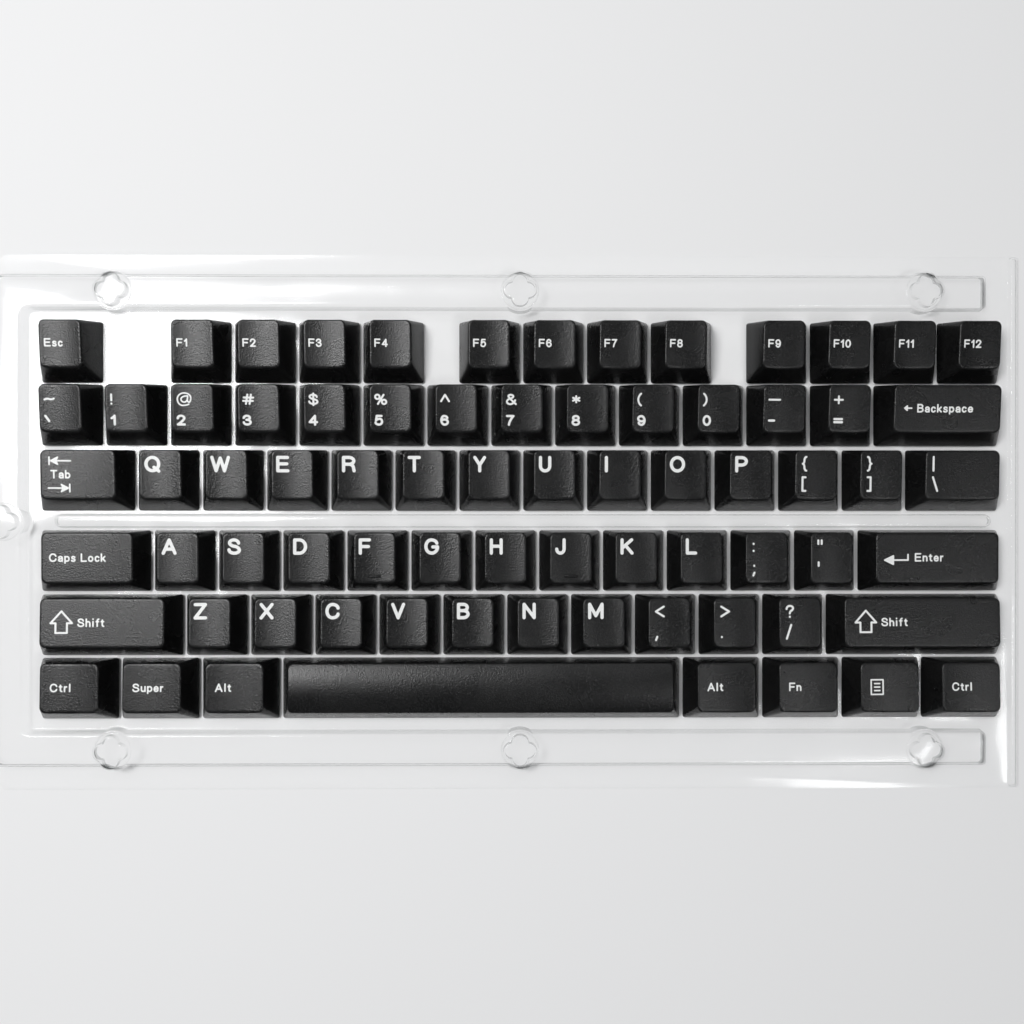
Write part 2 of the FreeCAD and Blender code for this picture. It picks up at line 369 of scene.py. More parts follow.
@dataclass(frozen=True)
class ClearSheet:
    """Clear formed sheet: it lets nearly all light through and shows by its gloss and a painted shade, most
    where it is steep.
    """

    name: str = "clear_formed_sheet"
    ripple_scale: float = 28.0
    ripple_depth: float = 0.16  # of the sheet's slow waves, in millimetres
    haze: float = 0.004
    gloss_gain: float = 0.50  # how much of the full reflection shows
    steep_shade_veil: float = 0.35  # added where a wall is steep, so that the painted shade there shows
    shade: float = 0.35  # how much of its veil it throws as a shadow: a clear sheet passes on most light
    refraction: float = 1.56
    smoothest: float = 0.08
    roughest: float = 0.16
    steep_metal: float = 0.15  # how metallic it is where it is steep, so that the painted shade tone shows flat; it is 1 where it is level
    bright: tuple[float, float, float] = (0.95, 0.96, 0.96)  # where the sheet is level
    steep_shade_tone: tuple[float, float, float] = (0.30, 0.32, 0.32)  # painted shade where it is steep, in place of the dark lines that bent light gives
    level: float = 0.055  # the reflection up to which a wall counts as level
    steep: float = 0.20  # the reflection at which a wall takes the full painted shade, standing in for light that is bent away

    def material(self) -> bpy.types.Material:
        """Build the material.

        Returns:
            The material.
        """
        material = bpy.data.materials.new(self.name)
        material.use_nodes = True
        paint = Shading(material.node_tree)
        shader = material.node_tree.nodes["Principled BSDF"]
        drift = paint.feed(paint.add("Group", node_tree=drift_group()), Scale=self.ripple_scale)
        bump = paint.feed(paint.add("Bump"), Height=drift.outputs["Drift"], Strength=1.0,
                          Distance=self.ripple_depth * MM)
        mirror = paint.feed(paint.add("Fresnel"), IOR=self.refraction, Normal=bump.outputs["Normal"])
        steep_shade_share = paint.ranged(mirror.outputs[0], 0.0, 1.0, self.level, self.steep)
        gloss = paint.sum("MULTIPLY_ADD", mirror.outputs[0], self.gloss_gain, self.haze)
        gloss = paint.sum("MULTIPLY_ADD", steep_shade_share, self.steep_shade_veil, gloss)
        outside = paint.ranged(paint.add("NewGeometry").outputs["Backfacing"], 1.0, 0.0)
        shade = paint.ranged(paint.add("LightPath").outputs["Is Shadow Ray"], 1.0, self.shade)
        veil = paint.sum("MULTIPLY", paint.sum("MULTIPLY", gloss, outside), shade)
        # Steep walls get a painted shade tone and less metal, standing in for the dark lines that refraction
        # gives.
        paint.feed(shader, Base_Color=paint.blend(steep_shade_share, self.bright, self.steep_shade_tone),
                   Metallic=paint.ranged(steep_shade_share, 1.0, self.steep_metal), Alpha=veil,
                   Normal=bump.outputs["Normal"],
                   Roughness=paint.ranged(drift.outputs["Drift"], self.smoothest, self.roughest))
        return material


BLACK_SHOT = MouldedPlastic("black_shot", (0.0012, 0.0012, 0.0013), (0.018, 0.018, 0.0182), 0.24, 0.31,
                            2300.0, 0.06, 0.34)
WHITE_SHOT = MouldedPlastic("white_shot", (0.74, 0.75, 0.74), (0.86, 0.86, 0.85), 0.36, 0.5, 2600.0, 0.008)


# ---------------------------------------------------------------------------------------------------
# Lettering

# Each glyph is its width and its strokes, in shares of the height between the stroke's centre lines.
# A stroke is a run of points; "~" marks a corner that the line rounds off instead of reaching, and "o"
# closes the stroke.
GLYPHS: dict[str, tuple[float, str]] = {
    "A": (0.86, "0,0 .43,1 .86,0 ; .15,.31 .71,.31"),
    "B": (0.72, "0,0 0,1 .36,1 .66,1~ .66,.53~ .36,.53 0,.53 ; .36,.53 .72,.53~ .72,0~ .36,0 0,0"),
    "C": (0.84, ".82,.72 .8,1~ 0,1~ 0,0~ .8,0~ .82,.28"),
    "D": (0.80, "0,0 0,1 .34,1 .8,1~ .8,0~ .34,0 0,0"),
    "E": (0.74, ".72,1 0,1 0,0 .74,0 ; 0,.52 .66,.52"),
    "F": (0.68, ".68,1 0,1 0,0 ; 0,.5 .6,.5"),
    "G": (0.88, ".82,.74 .8,1~ 0,1~ 0,0~ .88,0~ .88,.47 .52,.47"),
    "H": (0.74, "0,0 0,1 ; .74,0 .74,1 ; 0,.52 .74,.52"),
    "I": (0.0, "0,0 0,1"),
    "J": (0.56, ".56,1 .56,.32 .56,0~ 0,0~ 0,.3"),
    "K": (0.76, "0,0 0,1 ; .73,1 0,.36 ; .26,.58 .76,0"),
    "L": (0.64, "0,1 0,0 .64,0"),
    "M": (0.94, "0,0 0,1 .47,.14 .94,1 .94,0"),
    "N": (0.76, "0,0 0,1 .76,0 .76,1"),
    "O": (0.93, "0,1~ 0,0~ .93,0~ .93,1~ o"),
    "P": (0.74, "0,0 0,1 .38,1 .74,1~ .74,.44~ .38,.44 0,.44"),
    "Q": (0.93, "0,1~ 0,0~ .93,0~ .93,1~ o ; .58,.26 .93,-.03"),
    "R": (0.78, "0,0 0,1 .4,1 .76,1~ .76,.49~ .4,.49 0,.49 ; .4,.49 .74,.49~ .74,.2 .78,0"),
    "S": (0.76, ".70,.76 .68,1~ .04,1~ .04,.57~ .76,.47~ .76,0~ 0,0~ 0,.26"),
    "T": (0.75, "0,1 .75,1 ; .375,1 .375,0"),
    "U": (0.70, "0,1 0,.36 0,0~ .7,0~ .7,.36 .7,1"),
    "V": (0.80, "0,1 .4,0 .8,1"),
    "W": (1.22, "0,1 .3,0 .61,.95 .92,0 1.22,1"),
    "X": (0.80, "0,1 .8,0 ; 0,0 .8,1"),
    "Y": (0.72, "0,1 .36,.44 .72,1 ; .36,.44 .36,0"),
    "Z": (0.74, "0,1 .74,1 0,0 .76,0"),
    "a": (0.50, ".03,.5 .05,.66~ .5,.66~ .5,.4 .5,0 ; .5,.37 0,.37~ 0,0~ .42,0~ .5,.15"),
    "b": (0.54, "0,0 0,1 ; 0,.4 0,.65~ .54,.65~ .54,0~ 0,0~ 0,.26"),
    "c": (0.48, ".47,.52 .43,.65~ 0,.65~ 0,0~ .43,0~ .47,.13"),
    "e": (0.52, "0,.33 .52,.33 .52,.65~ 0,.65~ 0,0~ .46,0~ .5,.12"),
    "f": (0.34, ".15,0 .15,.75 .15,1~ .35,.99 ; 0,.65 .33,.65"),
    "h": (0.50, "0,0 0,1 ; 0,.4 0,.65~ .5,.65~ .5,.38 .5,0"),
    "i": (0.0, "0,0 0,.65 ; 0,.99 0,1"),
    "k": (0.50, "0,0 0,1 ; .47,.65 0,.2 ; .18,.36 .5,0"),
    "l": (0.0, "0,0 0,1"),
    "n": (0.50, "0,0 0,.65 ; 0,.4 0,.65~ .5,.65~ .5,.38 .5,0"),
    "o": (0.56, "0,.65~ 0,0~ .56,0~ .56,.65~ o"),
    "p": (0.54, "0,-.26 0,.65 ; 0,.4 0,.65~ .54,.65~ .54,0~ 0,0~ 0,.26"),
    "r": (0.28, "0,0 0,.65 ; 0,.38 .02,.66~ .28,.64"),
    "s": (0.45, ".43,.55 .38,.65~ .03,.65~ .03,.36~ .45,.31~ .45,0~ .03,0~ 0,.1"),
    "t": (0.33, ".14,.86 .14,.2 .14,0~ .33,.01 ; 0,.65 .31,.65"),
    "u": (0.50, "0,.65 0,.26 0,0~ .48,0~ .5,.24 ; .5,.65 .5,0"),
    "0": (0.62, "0,1~ 0,0~ .62,0~ .62,1~ o"),
    "1": (0.30, "0,.72 .12,.78~ .27,1 .27,0"),
    "2": (0.64, "0,.7 0,1~ .6,1~ .64,.5~ 0,0 .64,0"),
    "3": (0.64, "0,.76 .02,1~ .58,1~ .58,.54~ .25,.54 ; .25,.54 .64,.54~ .64,0~ 0,0~ 0,.25"),
    "4": (0.68, ".5,0 .5,1 0,.28 .68,.28"),
    "5": (0.62, ".57,1 .12,1 .05,.48 .12,.64~ .62,.7~ .62,0~ 0,0~ 0,.24"),
    "6": (0.62, ".57,.78 .55,1~ 0,1~ 0,0~ .62,0~ .62,.6~ .02,.6~ 0,.36"),
    "7": (0.62, "0,1 .62,1 .22,.5~ .18,0"),
    "8": (0.62, ".04,1~ .04,.54~ .58,.54~ .58,1~ o ; 0,.54~ 0,0~ .62,0~ .62,.54~ o"),
    "9": (0.62, ".05,.22 .07,0~ .62,0~ .62,1~ 0,1~ 0,.4~ .6,.4~ .62,.64"),
    "!": (0.0, "0,.36 0,1 ; 0,0 0,.02"),
    "@": (1.14, ".96,0 .84,-.14~ 0,-.14~ 0,1.14~ 1.14,1.14~ 1.14,.2~ .84,.2~ .84,.4 .88,.84 ; "
                ".84,.84~ .32,.84~ .3,.2~ .82,.2~ .84,.52"),
    "#": (0.90, ".24,0 .38,1 ; .56,0 .7,1 ; .06,.68 .9,.68 ; 0,.32 .86,.32"),
    "$": (0.74, ".68,.76 .66,1~ .04,1~ .04,.57~ .74,.47~ .74,0~ 0,0~ 0,.26 ; .37,-.13 .37,1.13"),
    "%": (1.0, "0,1~ 0,.54~ .4,.54~ .4,1~ o ; .6,.46~ .6,0~ 1,0~ 1,.46~ o ; .24,0 .76,1"),
    "^": (0.72, "0,.3 .36,1 .72,.3"),
    "&": (0.82, ".82,0 .16,.68~ .12,1~ .58,1~ .6,.68~ 0,.5~ 0,0~ .62,-.02~ .76,.42"),
    "*": (0.66, ".33,.2 .33,.86 ; .04,.37 .62,.69 ; .04,.69 .62,.37"),
    "(": (0.26, ".26,1.14 0,.92~ 0,.08~ .26,-.14"),
    ")": (0.26, "0,1.14 .26,.92~ .26,.08~ 0,-.14"),
    "—": (1.0, "0,.5 1,.5"),
    "-": (0.5, "0,.5 .5,.5"),
    "+": (0.76, "0,.5 .76,.5 ; .38,.12 .38,.88"),
    "=": (0.76, "0,.68 .76,.68 ; 0,.32 .76,.32"),
    "{": (0.34, ".34,1.12 .16,1.12~ .16,.8 .16,.5~ 0,.5 ; 0,.5 .16,.5~ .16,.2 .16,-.12~ .34,-.12"),
    "}": (0.34, "0,1.12 .18,1.12~ .18,.8 .18,.5~ .34,.5 ; .34,.5 .18,.5~ .18,.2 .18,-.12~ 0,-.12"),
    "[": (0.28, ".28,1.12 0,1.12 0,-.12 .28,-.12"),
    "]": (0.28, "0,1.12 .28,1.12 .28,-.12 0,-.12"),
    "|": (0.0, "0,-.12 0,1.12"),
    "\\": (0.42, "0,1.12 .42,-.12"),
    "/": (0.42, "0,-.12 .42,1.12"),
    ":": (0.0, "0,.04 0,.06 ; 0,.68 0,.7"),
    ";": (0.1, ".1,.68 .1,.7 ; .12,.06 .02,-.2"),
    '"': (0.32, "0,.68 0,1 ; .32,.68 .32,1"),
    "'": (0.0, "0,.68 0,1"),
    "<": (0.72, ".72,.94 0,.5 .72,.06"),
    ">": (0.72, "0,.94 .72,.5 0,.06"),
    ",": (0.12, ".12,.06 0,-.24"),
    ".": (0.0, "0,.02 0,.04"),
    "?": (0.60, "0,.72 0,1~ .6,1~ .6,.62~ .3,.52~ .3,.32 ; .3,0 .3,.02"),
    "~": (0.80, "0,.44 .17,.6~ .4,.5 .63,.4~ .8,.56"),
    "`": (0.32, "0,.97 .32,.38"),
    "←": (1.0, "0,.5 1,.5 ; .36,.8 0,.5 .36,.2 o ; .2,.5 .34,.62 .34,.38 o"),
    "↵": (2.5, "2.5,1 2.5,.43 .4,.43 ; .05,.43 .95,0 .95,.86 o ; "
               ".35,.43 .82,.2 .82,.66 o ; .55,.43 .8,.43"),
    "⇤": (2.79, "0,0 0,1 ; .5,.5 2.79,.5 ; 1.1,.97 .2,.5 1.1,.03 .85,.5 o ; "
               ".95,.76 .45,.5 .95,.24 .75,.5 o"),
    "⇥": (2.79, "2.79,0 2.79,1 ; 0,.5 2.29,.5 ; 1.69,.97 2.59,.5 1.69,.03 1.94,.5 o ; "
               "1.84,.76 2.34,.5 1.84,.24 2.04,.5 o"),
    "⇧": (0.98, "0,.45 .49,1 .98,.45 .75,.45 .75,0 .23,0 .23,.45 o"),
    "▤": (0.84, "0,0 0,1 .84,1 .84,0 o ; .24,.74 .6,.74 ; .24,.5 .6,.5 ; .24,.26 .6,.26"),
}
WORD_SPACE = 0.3  # in shares of a capital's height
UPRIGHT_ROOM = 0.12  # free space beside a bare upright, in millimetres
ROUND = 0.5523  # how far the handles of a quarter turn reach towards its corner
CURVE_STEPS = 8
CELLS_ACROSS = 6  # of the fine mesh, over a stroke's width


def _curve(start: Flat, corner: Flat, end: Flat) -> list[Flat]:
    """Round off a corner.

    Args:
        start: Where the rounding starts.
        corner: The corner itself.
        end: Where it ends.

    Returns:
        Points on the curve, without its start.
    """
    points = []
    for step in range(1, CURVE_STEPS + 1):
        t = step / CURVE_STEPS
        leave, lean_out, lean_in, arrive = (1 - t) ** 3, 3 * (1 - t) ** 2 * t, 3 * (1 - t) * t * t, t ** 3
        points.append(tuple(
            leave * a + lean_out * (a + (c - a) * ROUND) + lean_in * (b + (c - b) * ROUND) + arrive * b
            for a, c, b in zip(start, corner, end)))
    return points


def centre_lines(strokes: str) -> list[list[Flat]]:
    """Turn a glyph's strokes into lines of points.

    Args:
        strokes: The strokes, as GLYPHS gives them.

    Returns:
        One line of points for each stroke.
    """
    lines = []
    for stroke in strokes.split(";"):
        words = stroke.split()
        closed = words[-1] == "o"
        marks = [word for word in words if word != "o"]
        nodes = [(tuple(float(v) for v in mark.strip("~").split(",")), mark.endswith("~")) for mark in marks]
        if closed:
            nodes.append(nodes[0])
        path: list[tuple[Flat, bool]] = []
        for (here, soft), (after, after_soft) in zip(nodes, nodes[1:]):
            path.append((here, soft))
            if soft and after_soft:
                path.append((((here[0] + after[0]) / 2, (here[1] + after[1]) / 2), False))
        path.append(nodes[-1])
        if closed and path[0][1]:  # start a round stroke on its line instead of at a corner
            path = path[1:] + [path[1]]
        line = [path[0][0]]
        for place in range(1, len(path)):
            point, soft = path[place]
            if soft:
                line += _curve(line[-1], point, path[place + 1][0])
            elif not path[place - 1][1]:
                line.append(point)
        lines.append(line)
    return lines


@dataclass(frozen=True)
class Ink:
    """The flat shape of one glyph: points, faces and the edges round it, with the ink on their left."""

    points: tuple[Flat, ...]
    faces: tuple[tuple[int, ...], ...]
    rim: tuple[tuple[int, int], ...]


@lru_cache(maxsize=None)
def ink(glyph: str, height: float, stroke: float, stretch: float) -> Ink:
    """Fill a glyph's strokes with a fine mesh.

    Args:
        glyph: A key of GLYPHS.
        height: Height of a capital, over its strokes.
        stroke: Width of its strokes.
        stretch: How much wider than its usual shape it is.

    Returns:
        The filled shape, from the glyph's left edge and its base line.
    """
    scale, half = height - stroke, stroke / 2
    runs = [[(half + x * scale * stretch, half + y * scale) for x, y in line]
            for line in centre_lines(GLYPHS[glyph][1])]
    parts = np.array([(*a, *b) for run in runs for a, b in zip(run, run[1:])])
    cell = stroke / CELLS_ACROSS
    low = parts.reshape(-1, 2).min(0) - stroke
    count = np.ceil((parts.reshape(-1, 2).max(0) + stroke - low) / cell).astype(int)
    grid_x = low[0] + cell * np.arange(count[0] + 1)
    grid_y = low[1] + cell * np.arange(count[1] + 1)
    at_x, at_y = np.meshgrid(grid_x, grid_y, indexing="ij")
    start, along = parts[:, :2], parts[:, 2:] - parts[:, :2]
    square = np.maximum((along ** 2).sum(1), 1e-12)
    off_x, off_y = at_x[..., None] - start[:, 0], at_y[..., None] - start[:, 1]
    share = np.clip((off_x * along[:, 0] + off_y * along[:, 1]) / square, 0, 1)
    gap = np.hypot(off_x - share * along[:, 0], off_y - share * along[:, 1]).min(-1)
    depth = half - gap

    points: list[Flat] = []
    known: dict[tuple[tuple[int, int], ...], int] = {}

    def point(*corners: tuple[int, int]) -> int:
        """Give the index of a grid corner, or of the place on a grid edge where the ink ends."""
        key = tuple(sorted(corners))
        if key not in known:
            known[key] = len(points)
            (i, j), (k, l) = key[0], key[-1]
            part = depth[i, j] / (depth[i, j] - depth[k, l]) if len(key) > 1 else 0.0
            points.append((float(at_x[i, j] + part * (at_x[k, l] - at_x[i, j])),
                           float(at_y[i, j] + part * (at_y[k, l] - at_y[i, j]))))
        return known[key]

    faces, rim = [], []
    inside = depth > 0
    touched = inside[:-1, :-1] | inside[1:, :-1] | inside[1:, 1:] | inside[:-1, 1:]
    for i, j in np.argwhere(touched).tolist():
        corners = ((i, j), (i + 1, j), (i + 1, j + 1), (i, j + 1))
        face: list[int] = []
        leaving: int | None = None
        entering_first: int | None = None
        for here, after in zip(corners, corners[1:] + corners[:1]):
            if inside[here]:
                face.append(point(here))
            if inside[here] != inside[after]:
                crossing = point(here, after)
                face.append(crossing)
                if inside[here]:
                    leaving = crossing
                elif leaving is not None:
                    rim.append((leaving, crossing))
                    leaving = None
                else:
                    entering_first = crossing
        if leaving is not None and entering_first is not None:
            rim.append((leaving, entering_first))
        faces.append(tuple(face))
    return Ink(tuple(points), tuple(faces), tuple(rim))


class Line(Enum):
    """Where the middle of a legend lies on a cap's top, front to back."""

    BACK = "back"
    MIDDLE = "middle"
    FRONT = "front"


@dataclass(frozen=True)
class Lettering:
    """The size and place of one kind of legend."""

    height: float
    stroke: float
    left: float  # from the top's left edge
    line: Line
    inset: float = 0.0  # of the legend's middle, from the back or the front edge
    spacing: float = 0.34
    stretch: float = 1.0


LETTER = Lettering(4.8, 0.94, 1.4, Line.BACK, 4.05)
NEAR_LETTER = replace(LETTER, inset=3.7)
SYMBOL = Lettering(3.2, 0.56, 1.35, Line.BACK, 4.3, stretch=1.2)
AT_SIGN = Lettering(3.2, 0.42, 1.5, Line.BACK, 4.3, stretch=1.2)
DIGIT = Lettering(3.15, 0.66, 1.35, Line.FRONT, 3.3, stretch=1.2)
MARK_ABOVE = Lettering(3.8, 0.60, 1.8, Line.BACK, 3.9)
MARK_BELOW = Lettering(3.8, 0.60, 1.8, Line.FRONT, 4.4)
LABEL = Lettering(2.4, 0.44, 1.35, Line.MIDDLE, 0.25)
WORD = Lettering(2.5, 0.44, 2.8, Line.MIDDLE, 0.1)
WIDE_WORD = replace(WORD, left=2.2)
SHIFT_WORD = replace(WORD, left=10.7)
ENTER_WORD = replace(WORD, left=11.4)
ABOVE_WORD = Lettering(2.6, 0.44, 2.3, Line.MIDDLE, 4.0)
BELOW_WORD = replace(ABOVE_WORD, left=2.0, inset=-3.9)
SHIFT_SIGN = Lettering(6.8, 0.55, 2.8, Line.MIDDLE, 0.3)
ENTER_SIGN = Lettering(3.3, 0.48, 2.1, Line.MIDDLE, -0.5)
MENU_SIGN = Lettering(4.65, 0.42, 2.75, Line.MIDDLE)


@dataclass(frozen=True)
class Legend:
    """A run of glyphs in one kind of lettering."""

    text: str
    lettering: Lettering

    def glyphs(self) -> Iterator[tuple[str, float]]:
        """Give each glyph and how far its left edge is from the legend's."""
        kind = self.lettering
        place = 0.0
        for glyph in self.text:
            if glyph == " ":
                place += WORD_SPACE * kind.height + kind.spacing
                continue
            width = GLYPHS[glyph][0] * (kind.height - kind.stroke) * kind.stretch
            upright = UPRIGHT_ROOM * (width == 0)
            yield glyph, place + upright
            place += width + kind.stroke + kind.spacing + 2 * upright


# ---------------------------------------------------------------------------------------------------
# Caps


@dataclass(frozen=True)
class Rounded:
    """A rectangle with rounded corners, seen from above."""

    half_width: float
    front: float
    back: float
    radius: float
    least_radius: float = 0.05

    def inset(self, by: float) -> "Rounded":
        """Give the same rectangle with every edge moved inward."""
        radius = max(self.radius - by, self.least_radius)
        return Rounded(self.half_width - by, self.front + by, self.back - by, radius)


@dataclass(frozen=True)
class Weave:
    """A grid of cells that fits any rounded rectangle, with finer cells in its corners."""

    across: int  # straight cells along x
    along: int  # straight cells along y
    corner: int = 4

    @property
    def columns(self) -> int:
        """Give the number of cells along x."""
        return self.across + 2 * self.corner

    @property
    def rows(self) -> int:
        """Give the number of cells along y."""
        return self.along + 2 * self.corner

    def _station(self, index: int, straight: int, low: float, high: float, radius: float) -> Flat:
        """Give a grid line's base place, and how far it is into a corner, from -1 to 1.

        Args:
            index: The grid line.
            straight: The number of straight cells.
            low: The rectangle's low edge.
            high: Its high edge.
            radius: Its corner radius.

        Returns:
            The base place and the share of the corner.
        """
        if index < self.corner:
            return low + radius, (index - self.corner) / self.corner
        if index > self.corner + straight:
            return high - radius, (index - self.corner - straight) / self.corner
        share = (index - self.corner) / straight
        return low + radius + (high - low - 2 * radius) * share, 0.0

    def place(self, column: int, row: int, shape: Rounded) -> Flat:
        """Put one grid point on a rounded rectangle.

        Args:
            column: The point's grid line along x.
            row: The point's grid line along y.
            shape: The rectangle.

        Returns:
            Its x and y.
        """
        x, sx = self._station(column, self.across, -shape.half_width, shape.half_width, shape.radius)
        y, sy = self._station(row, self.along, shape.front, shape.back, shape.radius)
        reach = max(abs(sx), abs(sy))
        if reach == 0:
            return x, y
        turn = math.pi / 4 * min(abs(sx), abs(sy)) / reach
        long, short = math.cos(turn), math.sin(turn)
        dx, dy = (long, short) if abs(sx) >= abs(sy) else (short, long)
        return (x + math.copysign(shape.radius * reach * dx, sx) if sx else x,
                y + math.copysign(shape.radius * reach * dy, sy) if sy else y)

    def rim(self) -> list[tuple[int, int]]:
        """Give the grid points round the outline, anticlockwise from the front left corner."""
        front = [(column, 0) for column in range(self.columns)]
        right = [(self.columns, row) for row in range(self.rows)]
        back = [(column, self.rows) for column in range(self.columns, 0, -1)]
        left = [(0, row) for row in range(self.rows, 0, -1)]
        return front + right + back + left


@dataclass(frozen=True)
class Profile:
    """The side shape of a row of caps: how high its top's edges are and how far they stand in."""

    front_height: float
    back_height: float
    front_inset: float
    back_inset: float


class Sculpt(Enum):
    """The sculpted rows of a set."""

    FUNCTION = Profile(8.2, 9.5, 3.6, 0.9)
    UPPER = Profile(7.7, 8.3, 3.4, 0.5)
    HOME = Profile(7.4, 7.5, 2.8, 0.6)
    LOWER = Profile(8.7, 8.2, 3.3, 0.6)


@dataclass(frozen=True)
class Keycap:
    """One double-shot cap: a black shell over a white inner shot that makes its legend and its stems."""

    name: str
    body: str
    sculpt: Profile
    middle: Solid  # of its skirt, at the height that it stands on
    width: float
    legends: tuple[Legend, ...] = ()
    homing: bool = False
    crowned: bool = False
    depth: float = 18.1
    side_inset: float = 3.05
    base_corner: float = 0.8
    top_corner: float = 1.8
    dish: float = 0.55
    dish_margin: float = 0.2  # how far the dish's cylinder runs past the top's sides
    crown: float = 1.0
    edge: float = 0.5  # reach of the rounded edge round the top
    skirt_edge: float = 0.12
    flank_loop: float = 0.4  # where a flank's middle loop runs, in shares of its height
    cell: float = 1.2  # of the top's grid, along the row
    least_columns: int = 6
    rows: int = 9
    edge_steps: int = 4  # of the rounding between a flank and the top
    edge_passes: int = 4  # that find where a flank meets the top
    black_wall: float = 0.9
    black_roof: float = 0.95
    full_wall: float = 1.5
    full_roof: float = 1.6
    shot_gap: float = 0.02  # between the two shots
    lining_lift: float = 0.7  # the white lining ends this far above the skirt
    legend_relief: float = 0.035
    legend_depth: float = 1.2  # of its root, below the plane through the top's edges
    stem_radius: float = 2.75
    stem_lift: float = 0.6
    stem_root: float = 1.3  # how far below the top's edges a stem ends, inside the roof
    stem_sides: int = 40
    stem_lead: float = 0.25  # chamfer at a stem's foot and its socket's mouth
    stabiliser_stem: float = 11.9  # from the middle, on caps from 2 to 2.75 units
    space_stem: float = 50.0  # from the middle, on the space bar
    cap_gap: float = 0.95  # free space between two skirts
    cross_length: float = 4.1
    cross_slot: float = 1.2
    cross_depth: float = 3.8
    bar_length: float = 4.0
    bar_radius: float = 0.45
    bar_inset: float = 2.0
    bar_sink: float = 0.12  # how far the bar's axis lies below the top
    bar_sides: int = 16
    bar_turns: tuple[int, ...] = (-80, -60, -40, -20, -1, 1, 20, 40, 60, 80)  # degrees, round its two ends

    @property
    def weave(self) -> Weave:
        """Give the grid that all of this cap's outlines share."""
        columns = round((self.width - 2 * self.side_inset) / self.cell)
        return Weave(max(self.least_columns, columns), self.rows)

    def foot(self, wall: float) -> Rounded:
        """Give the outline of the skirt, or of its hollow at a wall's thickness."""
        shape = Rounded(self.width / 2, -self.depth / 2, self.depth / 2, self.base_corner)
        return shape.inset(wall) if wall else shape

    def head(self, wall: float) -> Rounded:
        """Give the outline of the top, or of the hollow's ceiling."""
        half = self.depth / 2
        corner = self.top_corner if wall == 0 else self.top_corner / 2
        return Rounded(self.width / 2 - self.side_inset - wall, -half + self.sculpt.front_inset + wall,
                       half - self.sculpt.back_inset - wall, corner)

    def rim_height(self, y: float, wall: float = 0.0, roof: float = 0.0) -> float:
        """Give the height of the plane through the top's edges, or of the ceiling.

        Args:
            y: The place, front to back.
            wall: The wall's thickness, for a ceiling.
            roof: The roof's thickness, for a ceiling.

        Returns:
            The height above the skirt's base.
        """
        shape = self.head(wall)
        share = (y - shape.front) / (shape.back - shape.front)
        return self.sculpt.front_height - roof + share * (self.sculpt.back_height - self.sculpt.front_height)

    def top_height(self, x: float, y: float) -> float:
        """Give the height of the dished or crowned top.

        Args:
            x: The place along the row.
            y: The place front to back.

        Returns:
            The height above the skirt's base.
        """
        shape = self.head(0.0)
        if self.crowned:
            share = (2 * y - shape.front - shape.back) / (shape.back - shape.front)
            return self.rim_height(y) + self.crown * (0.5 - share * share)
        chord = shape.half_width + self.dish_margin
        radius = (chord ** 2 + self.dish ** 2) / (2 * self.dish)
        return self.rim_height(y) - math.sqrt(radius ** 2 - x * x) + radius - self.dish

    def _placed(self, x: float, y: float, z: float) -> Solid:
        """Move a point from the cap's own frame to the set's."""
        return x + self.middle[0], y + self.middle[1], z + self.middle[2]

    def _wall(self, grid_point: tuple[int, int], wall: float, roof: float, share: float) -> Solid:
        """Give a point on a flank.

        Args:
            grid_point: Which point of the outline it is above.
            wall: The wall's thickness, 0 for the outside.
            roof: The roof's thickness, 0 for the outside.
            share: How far up it is, from the foot to the head.

        Returns:
            The point, in the cap's own frame.
        """
        low_x, low_y = self.weave.place(*grid_point, self.foot(wall))
        high_x, high_y = self.weave.place(*grid_point, self.head(wall))
        high_z = self.rim_height(high_y, wall, roof)
        return low_x + share * (high_x - low_x), low_y + share * (high_y - low_y), share * high_z

    def _ring(self, make: Callable[[tuple[int, int]], Solid], surface: Surface) -> list[int]:
        """Add one loop of points round the cap, and give its indices."""
        return surface.loop([self._placed(*make(grid_point)) for grid_point in self.weave.rim()])

    def _edge_points(self, grid_point: tuple[int, int]) -> list[Solid]:
        """Round the edge between a flank and the top.

        Args:
            grid_point: Which point of the outline it is above.

        Returns:
            Points from the flank to the top, in the cap's own frame.
        """
        share = 1.0
        for _ in range(self.edge_passes):
            x, y = self._wall(grid_point, 0.0, 0.0, share)[:2]
            share = self.top_height(x, y) / self._wall(grid_point, 0.0, 0.0, 1.0)[2]
        corner = Vector(self._wall(grid_point, 0.0, 0.0, share))
        foot = Vector(self._wall(grid_point, 0.0, 0.0, 0.0))
        low = corner + (foot - corner).normalized() * self.edge
        x, y = self.weave.place(*grid_point, self.head(0.0).inset(self.edge))
        high = Vector((x, y, self.top_height(x, y)))
        return [tuple(low * (1 - t) ** 2 + corner * 2 * t * (1 - t) + high * t * t)
                for t in (step / self.edge_steps for step in range(self.edge_steps + 1))]

    def _hollow(self, surface: Surface, wall: float, roof: float, lift: float) -> list[list[int]]:
        """Add the loops of a hollow, from its mouth to its ceiling.

        Args:
            surface: What they are added to.
            wall: The wall's thickness.
            roof: The roof's thickness.
            lift: How far above the skirt the hollow starts.

        Returns:
            The loops.
        """
        height = self._wall((0, 0), wall, roof, 1.0)[2]
        return [self._ring(lambda spot, stop=stop: self._wall(spot, wall, roof, stop), surface)
                for stop in (lift / height, 0.5, 1.0)]

